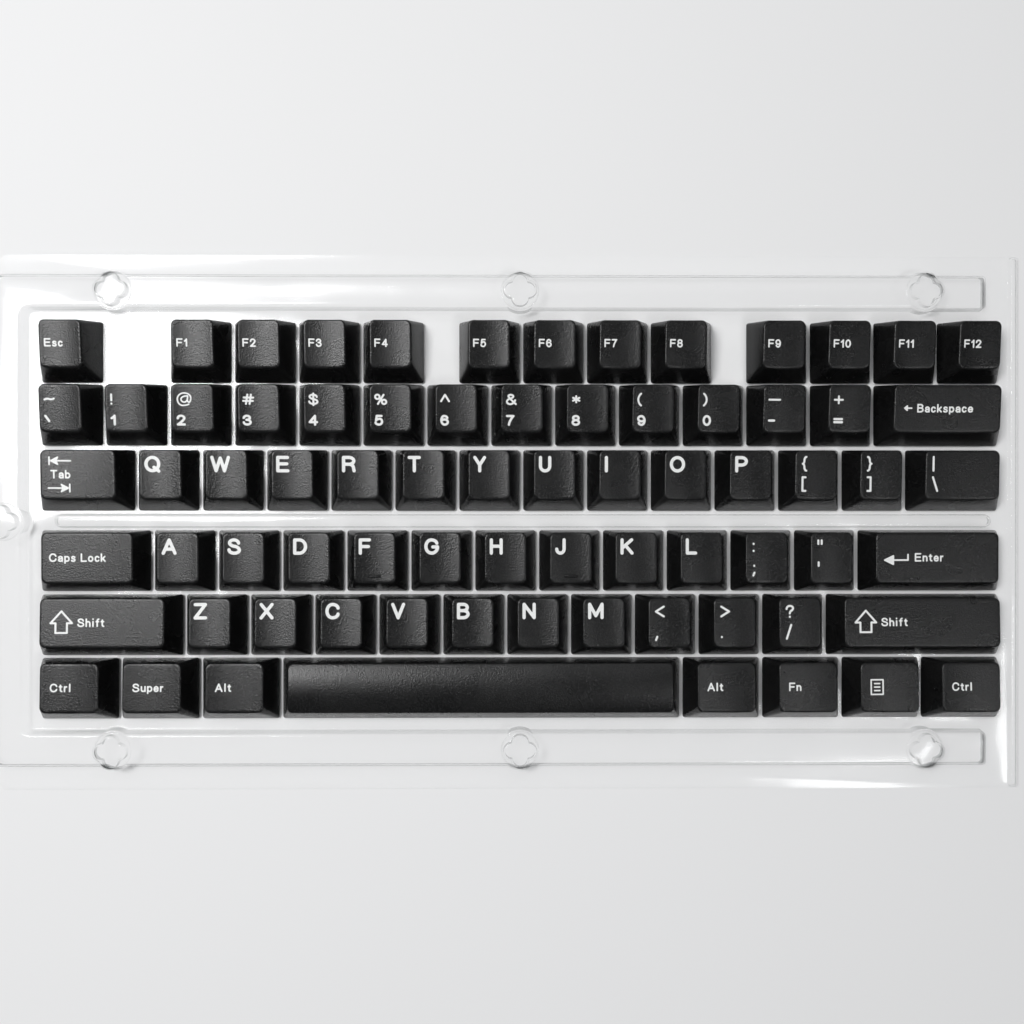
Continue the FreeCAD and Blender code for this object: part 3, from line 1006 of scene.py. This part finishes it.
    def shell(self) -> Surface:
        """Build the black shell: skirt, flanks, rounded edge, dished top and hollow.

        Returns:
            The shell's surface.
        """
        surface = Surface()
        weave = self.weave
        under = self.foot(self.skirt_edge)
        skirt = self._ring(lambda spot: (*weave.place(*spot, under), 0.0), surface)
        share = self.skirt_edge / self.sculpt.front_height
        flank = [self._ring(lambda spot, stop=stop: self._wall(spot, 0.0, 0.0, stop), surface)
                 for stop in (share, self.flank_loop)]
        edges = [self._edge_points(spot) for spot in weave.rim()]
        rounding = [surface.loop([self._placed(*point) for point in stage]) for stage in zip(*edges)]
        surface.skin([skirt, *flank, *rounding])
        known = dict(zip(weave.rim(), rounding[-1]))
        inner = self.head(0.0).inset(self.edge)
        for column in range(1, weave.columns):
            for row in range(1, weave.rows):
                x, y = weave.place(column, row, inner)
                known[column, row] = surface.loop([self._placed(x, y, self.top_height(x, y))])[0]
        for column in range(weave.columns):
            for row in range(weave.rows):
                surface.faces.append((known[column, row], known[column + 1, row],
                                      known[column + 1, row + 1], known[column, row + 1]))
        hollow = self._hollow(surface, self.black_wall, self.black_roof, 0.0)
        surface.bridge(hollow[0], skirt)
        surface.skin(hollow[::-1])
        surface.lid(hollow[-1], up=False)
        if self.homing:
            self._add_homing_bar(surface)
        return surface

    def _add_homing_bar(self, surface: Surface) -> None:
        """Add the small round-ended bar that a finger finds on the top."""
        y = self.head(0.0).front + self.bar_inset
        half, radius, around = self.bar_length / 2 - self.bar_radius, self.bar_radius, self.bar_sides
        stations = [(math.copysign(half, turn) + radius * math.sin(turn), math.cos(turn))
                    for turn in np.radians(self.bar_turns)]
        rings = []
        for x, size in stations:
            z = self.top_height(x, y) - self.bar_sink
            ring = [(x, y + radius * size * math.cos(a), z + radius * size * math.sin(a))
                    for a in (2 * math.pi * step / around for step in range(around))]
            rings.append(surface.loop([self._placed(*point) for point in ring]))
        surface.skin(rings[::-1])
        surface.lid(rings[0], up=True)
        surface.lid(rings[-1], up=False)

    def stem_places(self) -> tuple[float, ...]:
        """Give how far each stem is from the cap's middle."""
        units = (self.width + self.cap_gap) / PITCH
        if units < 2:
            return (0.0,)
        outer = self.space_stem if self.crowned else self.stabiliser_stem
        return -outer, 0.0, outer

    def inner_shot(self) -> Surface:
        """Build the white inner shot: the lining, the stems and the legend.

        Returns:
            The inner shot's surface.
        """
        surface = Surface()
        outside = self._hollow(surface, self.black_wall + self.shot_gap, self.black_roof + self.shot_gap,
                               self.lining_lift)
        inside = self._hollow(surface, self.full_wall, self.full_roof, self.lining_lift)
        surface.skin(outside)
        surface.lid(outside[-1])
        surface.bridge(inside[0], outside[0])
        surface.skin(inside[::-1])
        surface.lid(inside[-1], up=False)
        for x in self.stem_places():
            self._add_stem(surface, x)
        for legend in self.legends:
            self._add_legend(surface, legend)
        return surface

    def boss_places(self, spacing: float) -> list[Flat]:
        """Give where the tray's ring bosses stand under this cap: under each stem that has room for one."""
        stems = [x for x in self.stem_places() if x == 0 or abs(x) > spacing]
        return [(self.middle[0] + x, self.middle[1]) for x in stems]

    def _add_stem(self, surface: Surface, centre: float) -> None:
        """Add one stem with its cross-shaped socket.

        Args:
            surface: What it is added to.
            centre: How far it is from the cap's middle.
        """
        around, lead = self.stem_sides, self.stem_lead
        circle = [(math.cos(2 * math.pi * step / around), math.sin(2 * math.pi * step / around))
                  for step in range(around)]
        long, slot = self.cross_length / 2, self.cross_slot / 2
        cross = [(long, -slot), (long, slot), (slot, slot), (slot, long), (-slot, long), (-slot, slot),
                 (-long, slot), (-long, -slot), (-slot, -slot), (-slot, -long), (slot, -long), (slot, -slot)]

        def ring(points: Sequence[Flat], size: float, z: float | None) -> list[int]:
            """Add a loop at one height, or just inside the roof where no height is given."""
            places = [(centre + size * x, size * y) for x, y in points]
            heights = [self.rim_height(y, 0.0, self.stem_root) if z is None else z for _, y in places]
            return surface.loop([self._placed(x, y, height) for (x, y), height in zip(places, heights)])

        radius = self.stem_radius
        outer = [ring(circle, radius - lead, self.stem_lift), ring(circle, radius, self.stem_lift + lead),
                 ring(circle, radius, None)]
        grow = 1 + lead / long
        socket = [ring(cross, grow, self.stem_lift), ring(cross, 1.0, self.stem_lift + lead),
                  ring(cross, 1.0, self.stem_lift + self.cross_depth)]
        surface.skin(outer)
        surface.lid(outer[-1])
        surface.skin(socket[::-1])
        surface.lid(socket[-1], up=False)
        surface.span(outer[0], [socket[0]], up=False)

    def _add_legend(self, surface: Surface, legend: Legend) -> None:
        """Add a legend that follows the top and goes down to the lining.

        Args:
            surface: What it is added to.
            legend: The glyphs and their lettering.
        """
        kind, shape = legend.lettering, self.head(0.0)
        middle = {Line.BACK: shape.back - kind.inset, Line.FRONT: shape.front + kind.inset,
                  Line.MIDDLE: (shape.front + shape.back) / 2 + kind.inset}[kind.line]
        for glyph, start in legend.glyphs():
            drawn = ink(glyph, kind.height, kind.stroke, kind.stretch)
            places = [(-shape.half_width + kind.left + start + x, middle - kind.height / 2 + y)
                      for x, y in drawn.points]
            face = surface.loop([self._placed(x, y, self.top_height(x, y) + self.legend_relief)
                                 for x, y in places])
            root = surface.loop([self._placed(x, y, self.rim_height(y) - self.legend_depth)
                                 for x, y in places])
            for cell in drawn.faces:
                surface.faces.append(tuple(face[index] for index in cell))
                surface.faces.append(tuple(root[index] for index in reversed(cell)))
            for here, after in drawn.rim:
                surface.faces.append((root[here], root[after], face[after], face[here]))

    def build(self) -> None:
        """Make both shots, and put them on the cap's body."""
        shell = self.shell().make(self.name + "_shell", BLACK_SHOT.material(), "cap_plastic")
        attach(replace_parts(shell, self.body), self.body)
        inner = self.inner_shot().make(self.name + "_inner_shot", WHITE_SHOT.material(), "cap_plastic")
        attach(inner, self.body)
        words = " ".join(legend.text for legend in self.legends)
        LOG.info("%s: %.1f mm wide, %s", self.name, self.width, words)


@dataclass(frozen=True)
class Entry:
    """The caps of one node, from left to right, each with its legends."""

    node: str
    legends: tuple[tuple[Legend, ...], ...]
    homing: bool = False
    crowned: bool = False

    def caps(self, sculpt: Sculpt) -> Iterator[Keycap]:
        """Give the node's caps.

        Args:
            sculpt: The row's side shape.

        Yields:
            Each cap, placed by the node's box.
        """
        low, high = (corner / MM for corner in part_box(self.node))
        count = len(self.legends)
        width = high.x - low.x - (count - 1) * PITCH
        for index, legends in enumerate(self.legends):
            name = self.node if count == 1 else f"{self.node}_{index + 1}"
            middle = (low.x + width / 2 + index * PITCH, (low.y + high.y) / 2, low.z)
            yield Keycap(name, self.node, sculpt.value, middle, width, legends, self.homing, self.crowned)


def letters(row: str, lettering: Lettering = LETTER) -> list[Entry]:
    """Give the caps of a run of letters, those under the pointing fingers with a homing bar."""
    return [Entry("cap_" + letter, ((Legend(letter.upper(), lettering),),), homing=letter in "fj")
            for letter in row]


def pair(node: str, above: str, below: str) -> Entry:
    """Give a cap with one mark above another."""
    return Entry(node, ((Legend(above, MARK_ABOVE), Legend(below, MARK_BELOW)),))


def numbers(node: str, symbols: str, digits: str) -> Entry:
    """Give a run of caps with a symbol above a digit."""
    return Entry(node, tuple((Legend(above, AT_SIGN if above == "@" else SYMBOL), Legend(below, DIGIT))
                             for above, below in zip(symbols, digits)))


def labels(node: str, first: int) -> Entry:
    """Give a run of four function caps."""
    return Entry(node, tuple((Legend(f"F{first + step}", LABEL),) for step in range(4)))


def word(node: str, text: str, lettering: Lettering = WORD) -> Entry:
    """Give a cap with one word or sign."""
    return Entry(node, ((Legend(text, lettering),),))


SHIFT = (Legend("⇧", SHIFT_SIGN), Legend("Shift", SHIFT_WORD))


@dataclass
class KeySet:
    """All caps of the set, row by row from the back."""

    rows: dict[str, tuple[Sculpt, list[Entry]]] = field(default_factory=lambda: {
        "function": (Sculpt.FUNCTION, [
            word("cap_esc", "Esc", LABEL), labels("caps_f1_f4", 1), labels("caps_f5_f8", 5),
            labels("caps_f9_f12", 9)]),
        "number": (Sculpt.FUNCTION, [
            numbers("cap_grave", "~", "`"), numbers("caps_digits_1_5", "!@#$%", "12345"),
            numbers("caps_digits_6_0", "^&*()", "67890"), numbers("cap_minus", "—", "-"),
            numbers("cap_equals", "+", "="), word("cap_backspace", "← Backspace")]),
        "upper": (Sculpt.UPPER, [
            Entry("cap_tab", ((Legend("⇤", ABOVE_WORD), Legend("Tab", WORD), Legend("⇥", BELOW_WORD)),)),
            *letters("qwertyuiop"), pair("cap_bracket_left", "{", "["), pair("cap_bracket_right", "}", "]"),
            pair("cap_backslash", "|", "\\")]),
        "home": (Sculpt.HOME, [
            word("cap_caps_lock", "Caps Lock", WIDE_WORD), *letters("asdfghjkl"),
            pair("cap_semicolon", ":", ";"), pair("cap_quote", '"', "'"),
            Entry("cap_enter", ((Legend("↵", ENTER_SIGN), Legend("Enter", ENTER_WORD)),))]),
        "lower": (Sculpt.LOWER, [
            Entry("cap_shift_left", (SHIFT,)), *letters("zxcvbnm", NEAR_LETTER), pair("cap_comma", "<", ","),
            pair("cap_period", ">", "."), pair("cap_slash", "?", "/"), Entry("cap_shift_right", (SHIFT,))]),
        "bottom": (Sculpt.LOWER, [
            word("cap_ctrl_left", "Ctrl"), word("cap_super", "Super"), word("cap_alt_left", "Alt"),
            Entry("cap_space", ((),), crowned=True), word("cap_alt_right", "Alt"), word("cap_fn", "Fn"),
            word("cap_menu", "▤", MENU_SIGN), word("cap_ctrl_right", "Ctrl")]),
    })

    def caps(self) -> Iterator[Keycap]:
        """Give every cap, from the back row to the front."""
        for sculpt, entries in self.rows.values():
            for entry in entries:
                yield from entry.caps(sculpt)


# ---------------------------------------------------------------------------------------------------
# Tray


@dataclass(frozen=True)
class Step:
    """The side of a raised shape: a rounded foot, a leaning wall and a rounded shoulder."""

    rise: float
    foot_radius: float = 0.55
    shoulder_radius: float = 0.8
    draft: float = 0.15  # lean per millimetre of height
    segments: int = 4

    def stations(self) -> list[tuple[float, float]]:
        """Give how far outside the shape's foot line and how high each loop of the side is.

        Returns:
            Pairs of offset and height, from the foot up.
        """
        turn = math.pi / 2 - math.atan(self.draft)
        foot = self.foot_radius * math.tan(turn / 2)
        shoulder = self.shoulder_radius * math.tan(turn / 2)
        low = [(foot - self.foot_radius * math.sin(a), self.foot_radius * (1 - math.cos(a)))
               for a in (turn * step / self.segments for step in range(self.segments + 1))]
        middle = -self.draft * self.rise - shoulder
        high = [(middle + self.shoulder_radius * math.sin(a),
                 self.rise - self.shoulder_radius * (1 - math.cos(a)))
                for a in (turn * (1 - step / self.segments) for step in range(self.segments + 1))]
        return low + high


@dataclass(frozen=True)
class Corner:
    """One corner of an outline and its radius."""

    x: float
    y: float
    radius: float


@dataclass(frozen=True)
class Outline:
    """A closed outline, anticlockwise, that can be drawn at any offset with the same number of points.

    Where a circle stands on one of its edges, the edge bulges round it.
    """

    corners: tuple[Corner, ...]
    bulges: tuple[Corner, ...] = ()
    least_radius: float = 0.02
    bulge_lean: float = 0.2  # how much of an inward offset a bulge takes, so that its side is steep
    segments: int = 8

    def at(self, offset: float) -> list[Flat]:
        """Draw the outline.

        Args:
            offset: How far outside its nominal line it is drawn.

        Returns:
            Its points.
        """
        count = len(self.corners)
        nodes = [Vector((corner.x, corner.y)) for corner in self.corners]
        ways = [(nodes[(i + 1) % count] - nodes[i]).normalized() for i in range(count)]
        outs = [Vector((way.y, -way.x)) for way in ways]
        points: list[Flat] = []
        for i in range(count):
            before, way = ways[i - 1], ways[i]
            turn = math.atan2(before.cross(way), before.dot(way))
            spot = nodes[i] + offset * (outs[i - 1] + outs[i]) / (1 + outs[i - 1].dot(outs[i]))
            radius = max(self.corners[i].radius + offset * math.copysign(1.0, turn), self.least_radius)
            reach = radius * math.tan(abs(turn) / 2)
            start = spot - before * reach
            side = Vector((-before.y, before.x)) * math.copysign(radius, turn)
            for step in range(self.segments + 1):
                angle = turn * step / self.segments
                turned = Vector((-side.x * math.cos(angle) + side.y * math.sin(angle),
                                 -side.x * math.sin(angle) - side.y * math.cos(angle)))
                points.append(tuple(start + side + turned))
            after = nodes[(i + 1) % count]
            points += self._bulge_points(nodes[i] + offset * outs[i], after, way, outs[i], offset)
        return points

    def _bulge_points(self, start: Vector, end: Vector, way: Vector, out: Vector,
                      offset: float) -> list[Flat]:
        """Draw the bulges on one edge.

        Args:
            start: A point on the edge, at its offset.
            end: The edge's far corner.
            way: Its direction.
            out: Its outward normal.
            offset: How far outside its nominal line the outline is drawn.

        Returns:
            Points round the bulges, in the order in which the edge meets them.
        """
        met = []
        for circle in self.bulges:
            centre = Vector((circle.x, circle.y))
            radius = circle.radius + (offset if offset > 0 else offset * self.bulge_lean)
            gap, along = (start - centre).dot(out), (centre - start).dot(way)
            if abs(gap) < radius and 0 < along < (end - start).dot(way):
                met.append((along, centre, math.acos(gap / radius), radius))
        points = []
        for _, centre, half, radius in sorted(met, key=lambda one: one[0]):
            for step in range(-self.segments, self.segments + 1):
                angle = half * step / self.segments
                points.append(tuple(centre + radius * (out * math.cos(angle) + way * math.sin(angle))))
        return points


@dataclass(frozen=True)
class Disc:
    """A round outline."""

    x: float
    y: float
    radius: float
    segments: int = 40

    def at(self, offset: float) -> list[Flat]:
        """Draw the circle at an offset."""
        return [(self.x + (self.radius + offset) * math.cos(a), self.y + (self.radius + offset) * math.sin(a))
                for a in (2 * math.pi * step / self.segments for step in range(self.segments))]


@dataclass(frozen=True)
class FourLobes:
    """The outline of a snap stud: four round lobes about its middle."""

    x: float
    y: float
    lobe: float = 2.6
    reach: float = 2.35  # from the stud's middle to a lobe's
    segments: int = 10

    def at(self, offset: float) -> list[Flat]:
        """Draw the outline.

        Args:
            offset: How far outside its nominal line it is drawn.

        Returns:
            Its points.
        """
        radius = self.lobe + offset
        half = self.reach / math.sqrt(2)
        notch = half + math.sqrt(radius ** 2 - half ** 2)  # how far out on the diagonal two lobes meet
        sweep = math.atan2(notch / math.sqrt(2), notch / math.sqrt(2) - self.reach)
        points = []
        for quarter in range(4):
            lean = math.pi / 2 * quarter
            for step in range(self.segments):
                angle = sweep * (2 * step / self.segments - 1)
                x, y = self.reach + radius * math.cos(angle), radius * math.sin(angle)
                points.append((self.x + x * math.cos(lean) - y * math.sin(lean),
                               self.y + x * math.sin(lean) + y * math.cos(lean)))
        return points


def block(left: float, right: float, front: float, back: float, radius: float) -> Outline:
    """Give a rectangle with equal corners."""
    return Outline((Corner(left, front, radius), Corner(right, front, radius),
                    Corner(right, back, radius), Corner(left, back, radius)))


@dataclass
class Tray:
    """The clear formed sheet that the caps lie in."""

    floor: float = 0.5  # height of the sheet's upper face
    half_length: float = 156.25
    half_width: float = 79.5
    chamfer: float = 10.0
    left_corner: float = 2.0
    right_corner: float = 1.2
    rail_step: Step = Step(4.0)
    rail_half: float = 5.3
    back_rail: float = 68.2
    front_rail: float = -67.0
    left_rail: float = -144.6
    rail_end: float = 145.4
    outer_corner: float = 4.0
    inner_corner: float = 2.6
    end_corner: float = 1.6
    stud_pitch: float = 119.6
    stud_middle: float = 6.9
    stud_side: float = 0.2
    pad_radius: float = 6.1
    pad_step: Step = Step(0.4, 0.15, 0.15)
    pad_inset: float = 0.5
    stud_step: Step = Step(2.6, 0.25, 0.45, 0.02)
    rib_start: float = -130.9
    rib_end: float = 147.5
    rib_middle: float = 0.4
    rib_half: float = 1.95
    rib_corner: float = 1.9
    rib_step: Step = Step(2.0, 0.5, 0.6)
    bead_width: float = 3.1
    bead_inset: float = 0.35  # from the sheet's edge to the bead's foot
    bead_corner: float = 0.95
    bead_step: Step = Step(1.5, 0.2, 0.4)
    boss_step: Step = Step(1.8, 0.4, 0.35)
    boss_outer: float = 6.2
    boss_inner: float = 3.6
    boss_spacing: float = 15.5  # an outer stem that is nearer than this to the middle one has no boss
    surface: Surface = field(default_factory=Surface)

    def stud_places(self) -> list[Flat]:
        """Give the middles of the seven studs."""
        long = [(self.stud_middle + step * self.stud_pitch, y)
                for y in (self.back_rail, self.front_rail) for step in (-1, 0, 1)]
        return long + [(self.left_rail, self.stud_side)]

    def rails(self) -> Outline:
        """Give the outline of the rails: a C that is open to the right, with a bulge round every stud."""
        half, end = self.rail_half, self.rail_end
        bulges = tuple(Corner(x, y, self.pad_radius) for x, y in self.stud_places())
        return Outline((
            Corner(end, self.back_rail - half, self.end_corner),
            Corner(end, self.back_rail + half, self.end_corner),
            Corner(self.left_rail - half, self.back_rail + half, self.outer_corner),
            Corner(self.left_rail - half, self.front_rail - half, self.outer_corner),
            Corner(end, self.front_rail - half, self.end_corner),
            Corner(end, self.front_rail + half, self.end_corner),
            Corner(self.left_rail + half, self.front_rail + half, self.inner_corner),
            Corner(self.left_rail + half, self.back_rail - half, self.inner_corner)), bulges)

    def _raise(self, outline: Outline | Disc | FourLobes, step: Step, base: float,
               sunk: bool = False) -> tuple[list[int], list[int]]:
        """Form one step of the sheet along an outline.

        Args:
            outline: The line of its foot.
            step: The shape of its side.
            base: The height that it starts from.
            sunk: Whether it goes down inside the outline instead of up.

        Returns:
            The loop at its foot and the loop at its shoulder.
        """
        loops = []
        for offset, height in step.stations():
            side = -offset if sunk else offset
            loops.append(self.surface.level(outline.at(side), base + height))
        self.surface.skin(loops[::-1] if sunk else loops)
        return loops[0], loops[-1]

    def _boss(self, x: float, y: float) -> list[int]:
        """Form a ring boss that stands inside a cap's skirt and round its stem.

        Args:
            x: Its middle.
            y: Its middle.

        Returns:
            The loop at its outer foot.
        """
        foot, outer = self._raise(Disc(x, y, self.boss_outer), self.boss_step, self.floor)
        well, inner = self._raise(Disc(x, y, self.boss_inner), self.boss_step, self.floor, sunk=True)
        self.surface.span(outer, [inner])
        self.surface.lid(well)
        return foot

    def build(self, caps: Sequence[Keycap]) -> None:
        """Make the sheet, and put it on the tray's body.

        Args:
            caps: The caps that it holds.
        """
        surface, top = self.surface, self.floor + self.rail_step.rise
        length, width, cut = self.half_length, self.half_width, self.chamfer
        left, right = self.left_corner, self.right_corner
        plate = Outline((Corner(length, -width, right), Corner(length, width, right),
                         Corner(cut - length, width, left), Corner(-length, width - cut, left),
                         Corner(-length, cut - width, left), Corner(cut - length, -width, left)))
        edge = surface.level(plate.at(0.0), self.floor)
        rail_foot, rail_top = self._raise(self.rails(), self.rail_step, self.floor)
        pads = []
        for x, y in self.stud_places():
            pad_foot, pad_top = self._raise(Disc(x, y, self.pad_radius - self.pad_inset), self.pad_step, top)
            head_foot, head_top = self._raise(FourLobes(x, y), self.stud_step, top + self.pad_step.rise)
            surface.span(pad_top, [head_foot])
            surface.lid(head_top)
            pads.append(pad_foot)
        surface.span(rail_top, pads)
        rib = block(self.rib_start, self.rib_end, self.rib_middle - self.rib_half,
                    self.rib_middle + self.rib_half, self.rib_corner)
        rib_foot, rib_top = self._raise(rib, self.rib_step, self.floor)
        surface.lid(rib_top)
        inset = self.bead_inset
        bead = block(length - self.bead_width, length - inset, inset - width, width - inset, self.bead_corner)
        bead_foot, bead_top = self._raise(bead, self.bead_step, self.floor)
        surface.lid(bead_top)
        bosses = [self._boss(x, y) for cap in caps for x, y in cap.boss_places(self.boss_spacing)]
        surface.span(edge, [rail_foot, rib_foot, bead_foot, *bosses])
        sheet = surface.make("clear_tray", ClearSheet().material(), "clear_sheet")
        thickness = sheet.modifiers.new("sheet_thickness", "SOLIDIFY")
        thickness.thickness = self.floor * MM
        thickness.offset = -1.0
        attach(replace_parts(sheet, "tray"), "tray")
        LOG.info("clear_tray: %d studs, %d ring bosses", len(pads), len(bosses))


# ---------------------------------------------------------------------------------------------------
# Studio


@dataclass(frozen=True)
class SoftBox:
    """One rectangular lamp, aimed at a point of the tray."""

    name: str
    place: Solid
    aim: Solid
    width: float
    height: float
    power: float  # watts

    def build(self) -> None:
        """Hang the lamp."""
        light = bpy.data.lights.new(self.name, "AREA")
        light.shape = "RECTANGLE"
        light.size, light.size_y = self.width * MM, self.height * MM
        light.energy = self.power
        lamp = bpy.data.objects.new(self.name, light)
        bpy.context.scene.collection.objects.link(lamp)
        place, aim = Vector(self.place) * MM, Vector(self.aim) * MM
        lamp.location = place
        lamp.rotation_euler = (aim - place).to_track_quat("-Z", "Y").to_euler()


@dataclass(frozen=True)
class Studio:
    """A pale table top, a pale room, two soft boxes and the camera."""

    table_tone: float = 0.80
    room_tone: tuple[float, float, float] = (0.93, 0.96, 1.0)
    room_strength: float = 0.14
    backdrop_strength: float = 0.72  # how bright the room looks where it is seen past the table
    table_reach: float = 1.0  # metres from the tray's middle to the table's edge
    table_height: float = -0.0004  # metres, a hair below the tray
    table_roughness: float = 0.75
    table_cloud_scale: float = 3.0
    table_cloud_spread: float = 0.6
    table_shade: float = 0.985  # the darkest patch against the table's tone
    table_tint: float = 1.005  # blue against red in its lightest patch
    camera_place: Solid = (2.0, 3.05, 297.2)
    camera_yaw: float = 0.5  # degrees towards the right
    view_angle: float = 54.5
    near_clip: float = 0.01  # metres
    boxes: tuple[SoftBox, ...] = (
        SoftBox("back_box", (-100.0, 750.0, 1200.0), (0.0, 0.0, 0.0), 1600.0, 1000.0, 3.4),
        SoftBox("back_left_box", (-450.0, 200.0, 1000.0), (-60.0, 30.0, 0.0), 420.0, 320.0, 9.2),
        SoftBox("front_right_box", (487.0, -325.0, 1000.0), (60.0, -40.0, 0.0), 330.0, 110.0, 1.7),
    )

    def _table(self) -> None:
        """Lay the table top."""
        mesh = bpy.data.meshes.new("table_top")
        reach = self.table_reach
        corners = ((-reach, -reach), (reach, -reach), (reach, reach), (-reach, reach))
        mesh.from_pydata([(x, y, self.table_height) for x, y in corners], [], [(0, 1, 2, 3)])
        material = bpy.data.materials.new("pale_table_top")
        material.use_nodes = True
        paint = Shading(material.node_tree)
        shader = material.node_tree.nodes["Principled BSDF"]
        tone = self.table_tone
        drift = paint.feed(paint.add("Group", node_tree=drift_group()), Scale=self.table_cloud_scale,
                           Spread=self.table_cloud_spread)
        low_tone, high_tone = (tone * self.table_shade,) * 3, (tone, tone, tone * self.table_tint)
        paint.feed(shader, Base_Color=paint.blend(drift.outputs["Drift"], low_tone, high_tone),
                   Roughness=self.table_roughness)
        mesh.materials.append(material)
        table = bpy.data.objects.new("table_top", mesh)
        bpy.context.scene.collection.objects.link(table)
        table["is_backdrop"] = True

    def build(self) -> None:
        """Set up the table, the room's light, the lamps and the camera."""
        self._table()
        world = bpy.data.worlds.new("pale_room")
        world.use_nodes = True
        background = world.node_tree.nodes["Background"]
        background.inputs["Color"].default_value = (*self.room_tone, 1.0)
        air = Shading(world.node_tree)
        camera_ray = air.add("LightPath").outputs["Is Camera Ray"]
        seen = air.ranged(camera_ray, self.room_strength, self.backdrop_strength)
        air.feed(background, Strength=seen)
        bpy.context.scene.world = world
        for box in self.boxes:
            box.build()
        lens = bpy.data.cameras.new("camera")
        lens.angle = math.radians(self.view_angle)
        lens.clip_start = self.near_clip
        camera = bpy.data.objects.new("camera", lens)
        camera.location = Vector(self.camera_place) * MM
        camera.rotation_euler = (0.0, -math.radians(self.camera_yaw), 0.0)
        bpy.context.scene.collection.objects.link(camera)
        bpy.context.scene.camera = camera
        bpy.context.scene.view_settings.view_transform = "Standard"


def write_sizes() -> None:
    """Put the frame's box and the finished model's box beside each other as plain numbers; nothing is
    written.
    """
    boxes = {"cad": CAD_BOX, "visual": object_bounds()}
    plain = {name: [[float(value) for value in corner] for corner in box] for name, box in boxes.items()}


def main() -> None:
    """Build the studio, the caps and the tray in order."""
    logging.basicConfig(level=logging.INFO, format="%(message)s")
    Studio().build()
    caps = list(KeySet().caps())
    for cap in caps:
        cap.build()
    Tray().build(caps)
    write_sizes()


if __name__ == "__main__":
    main()
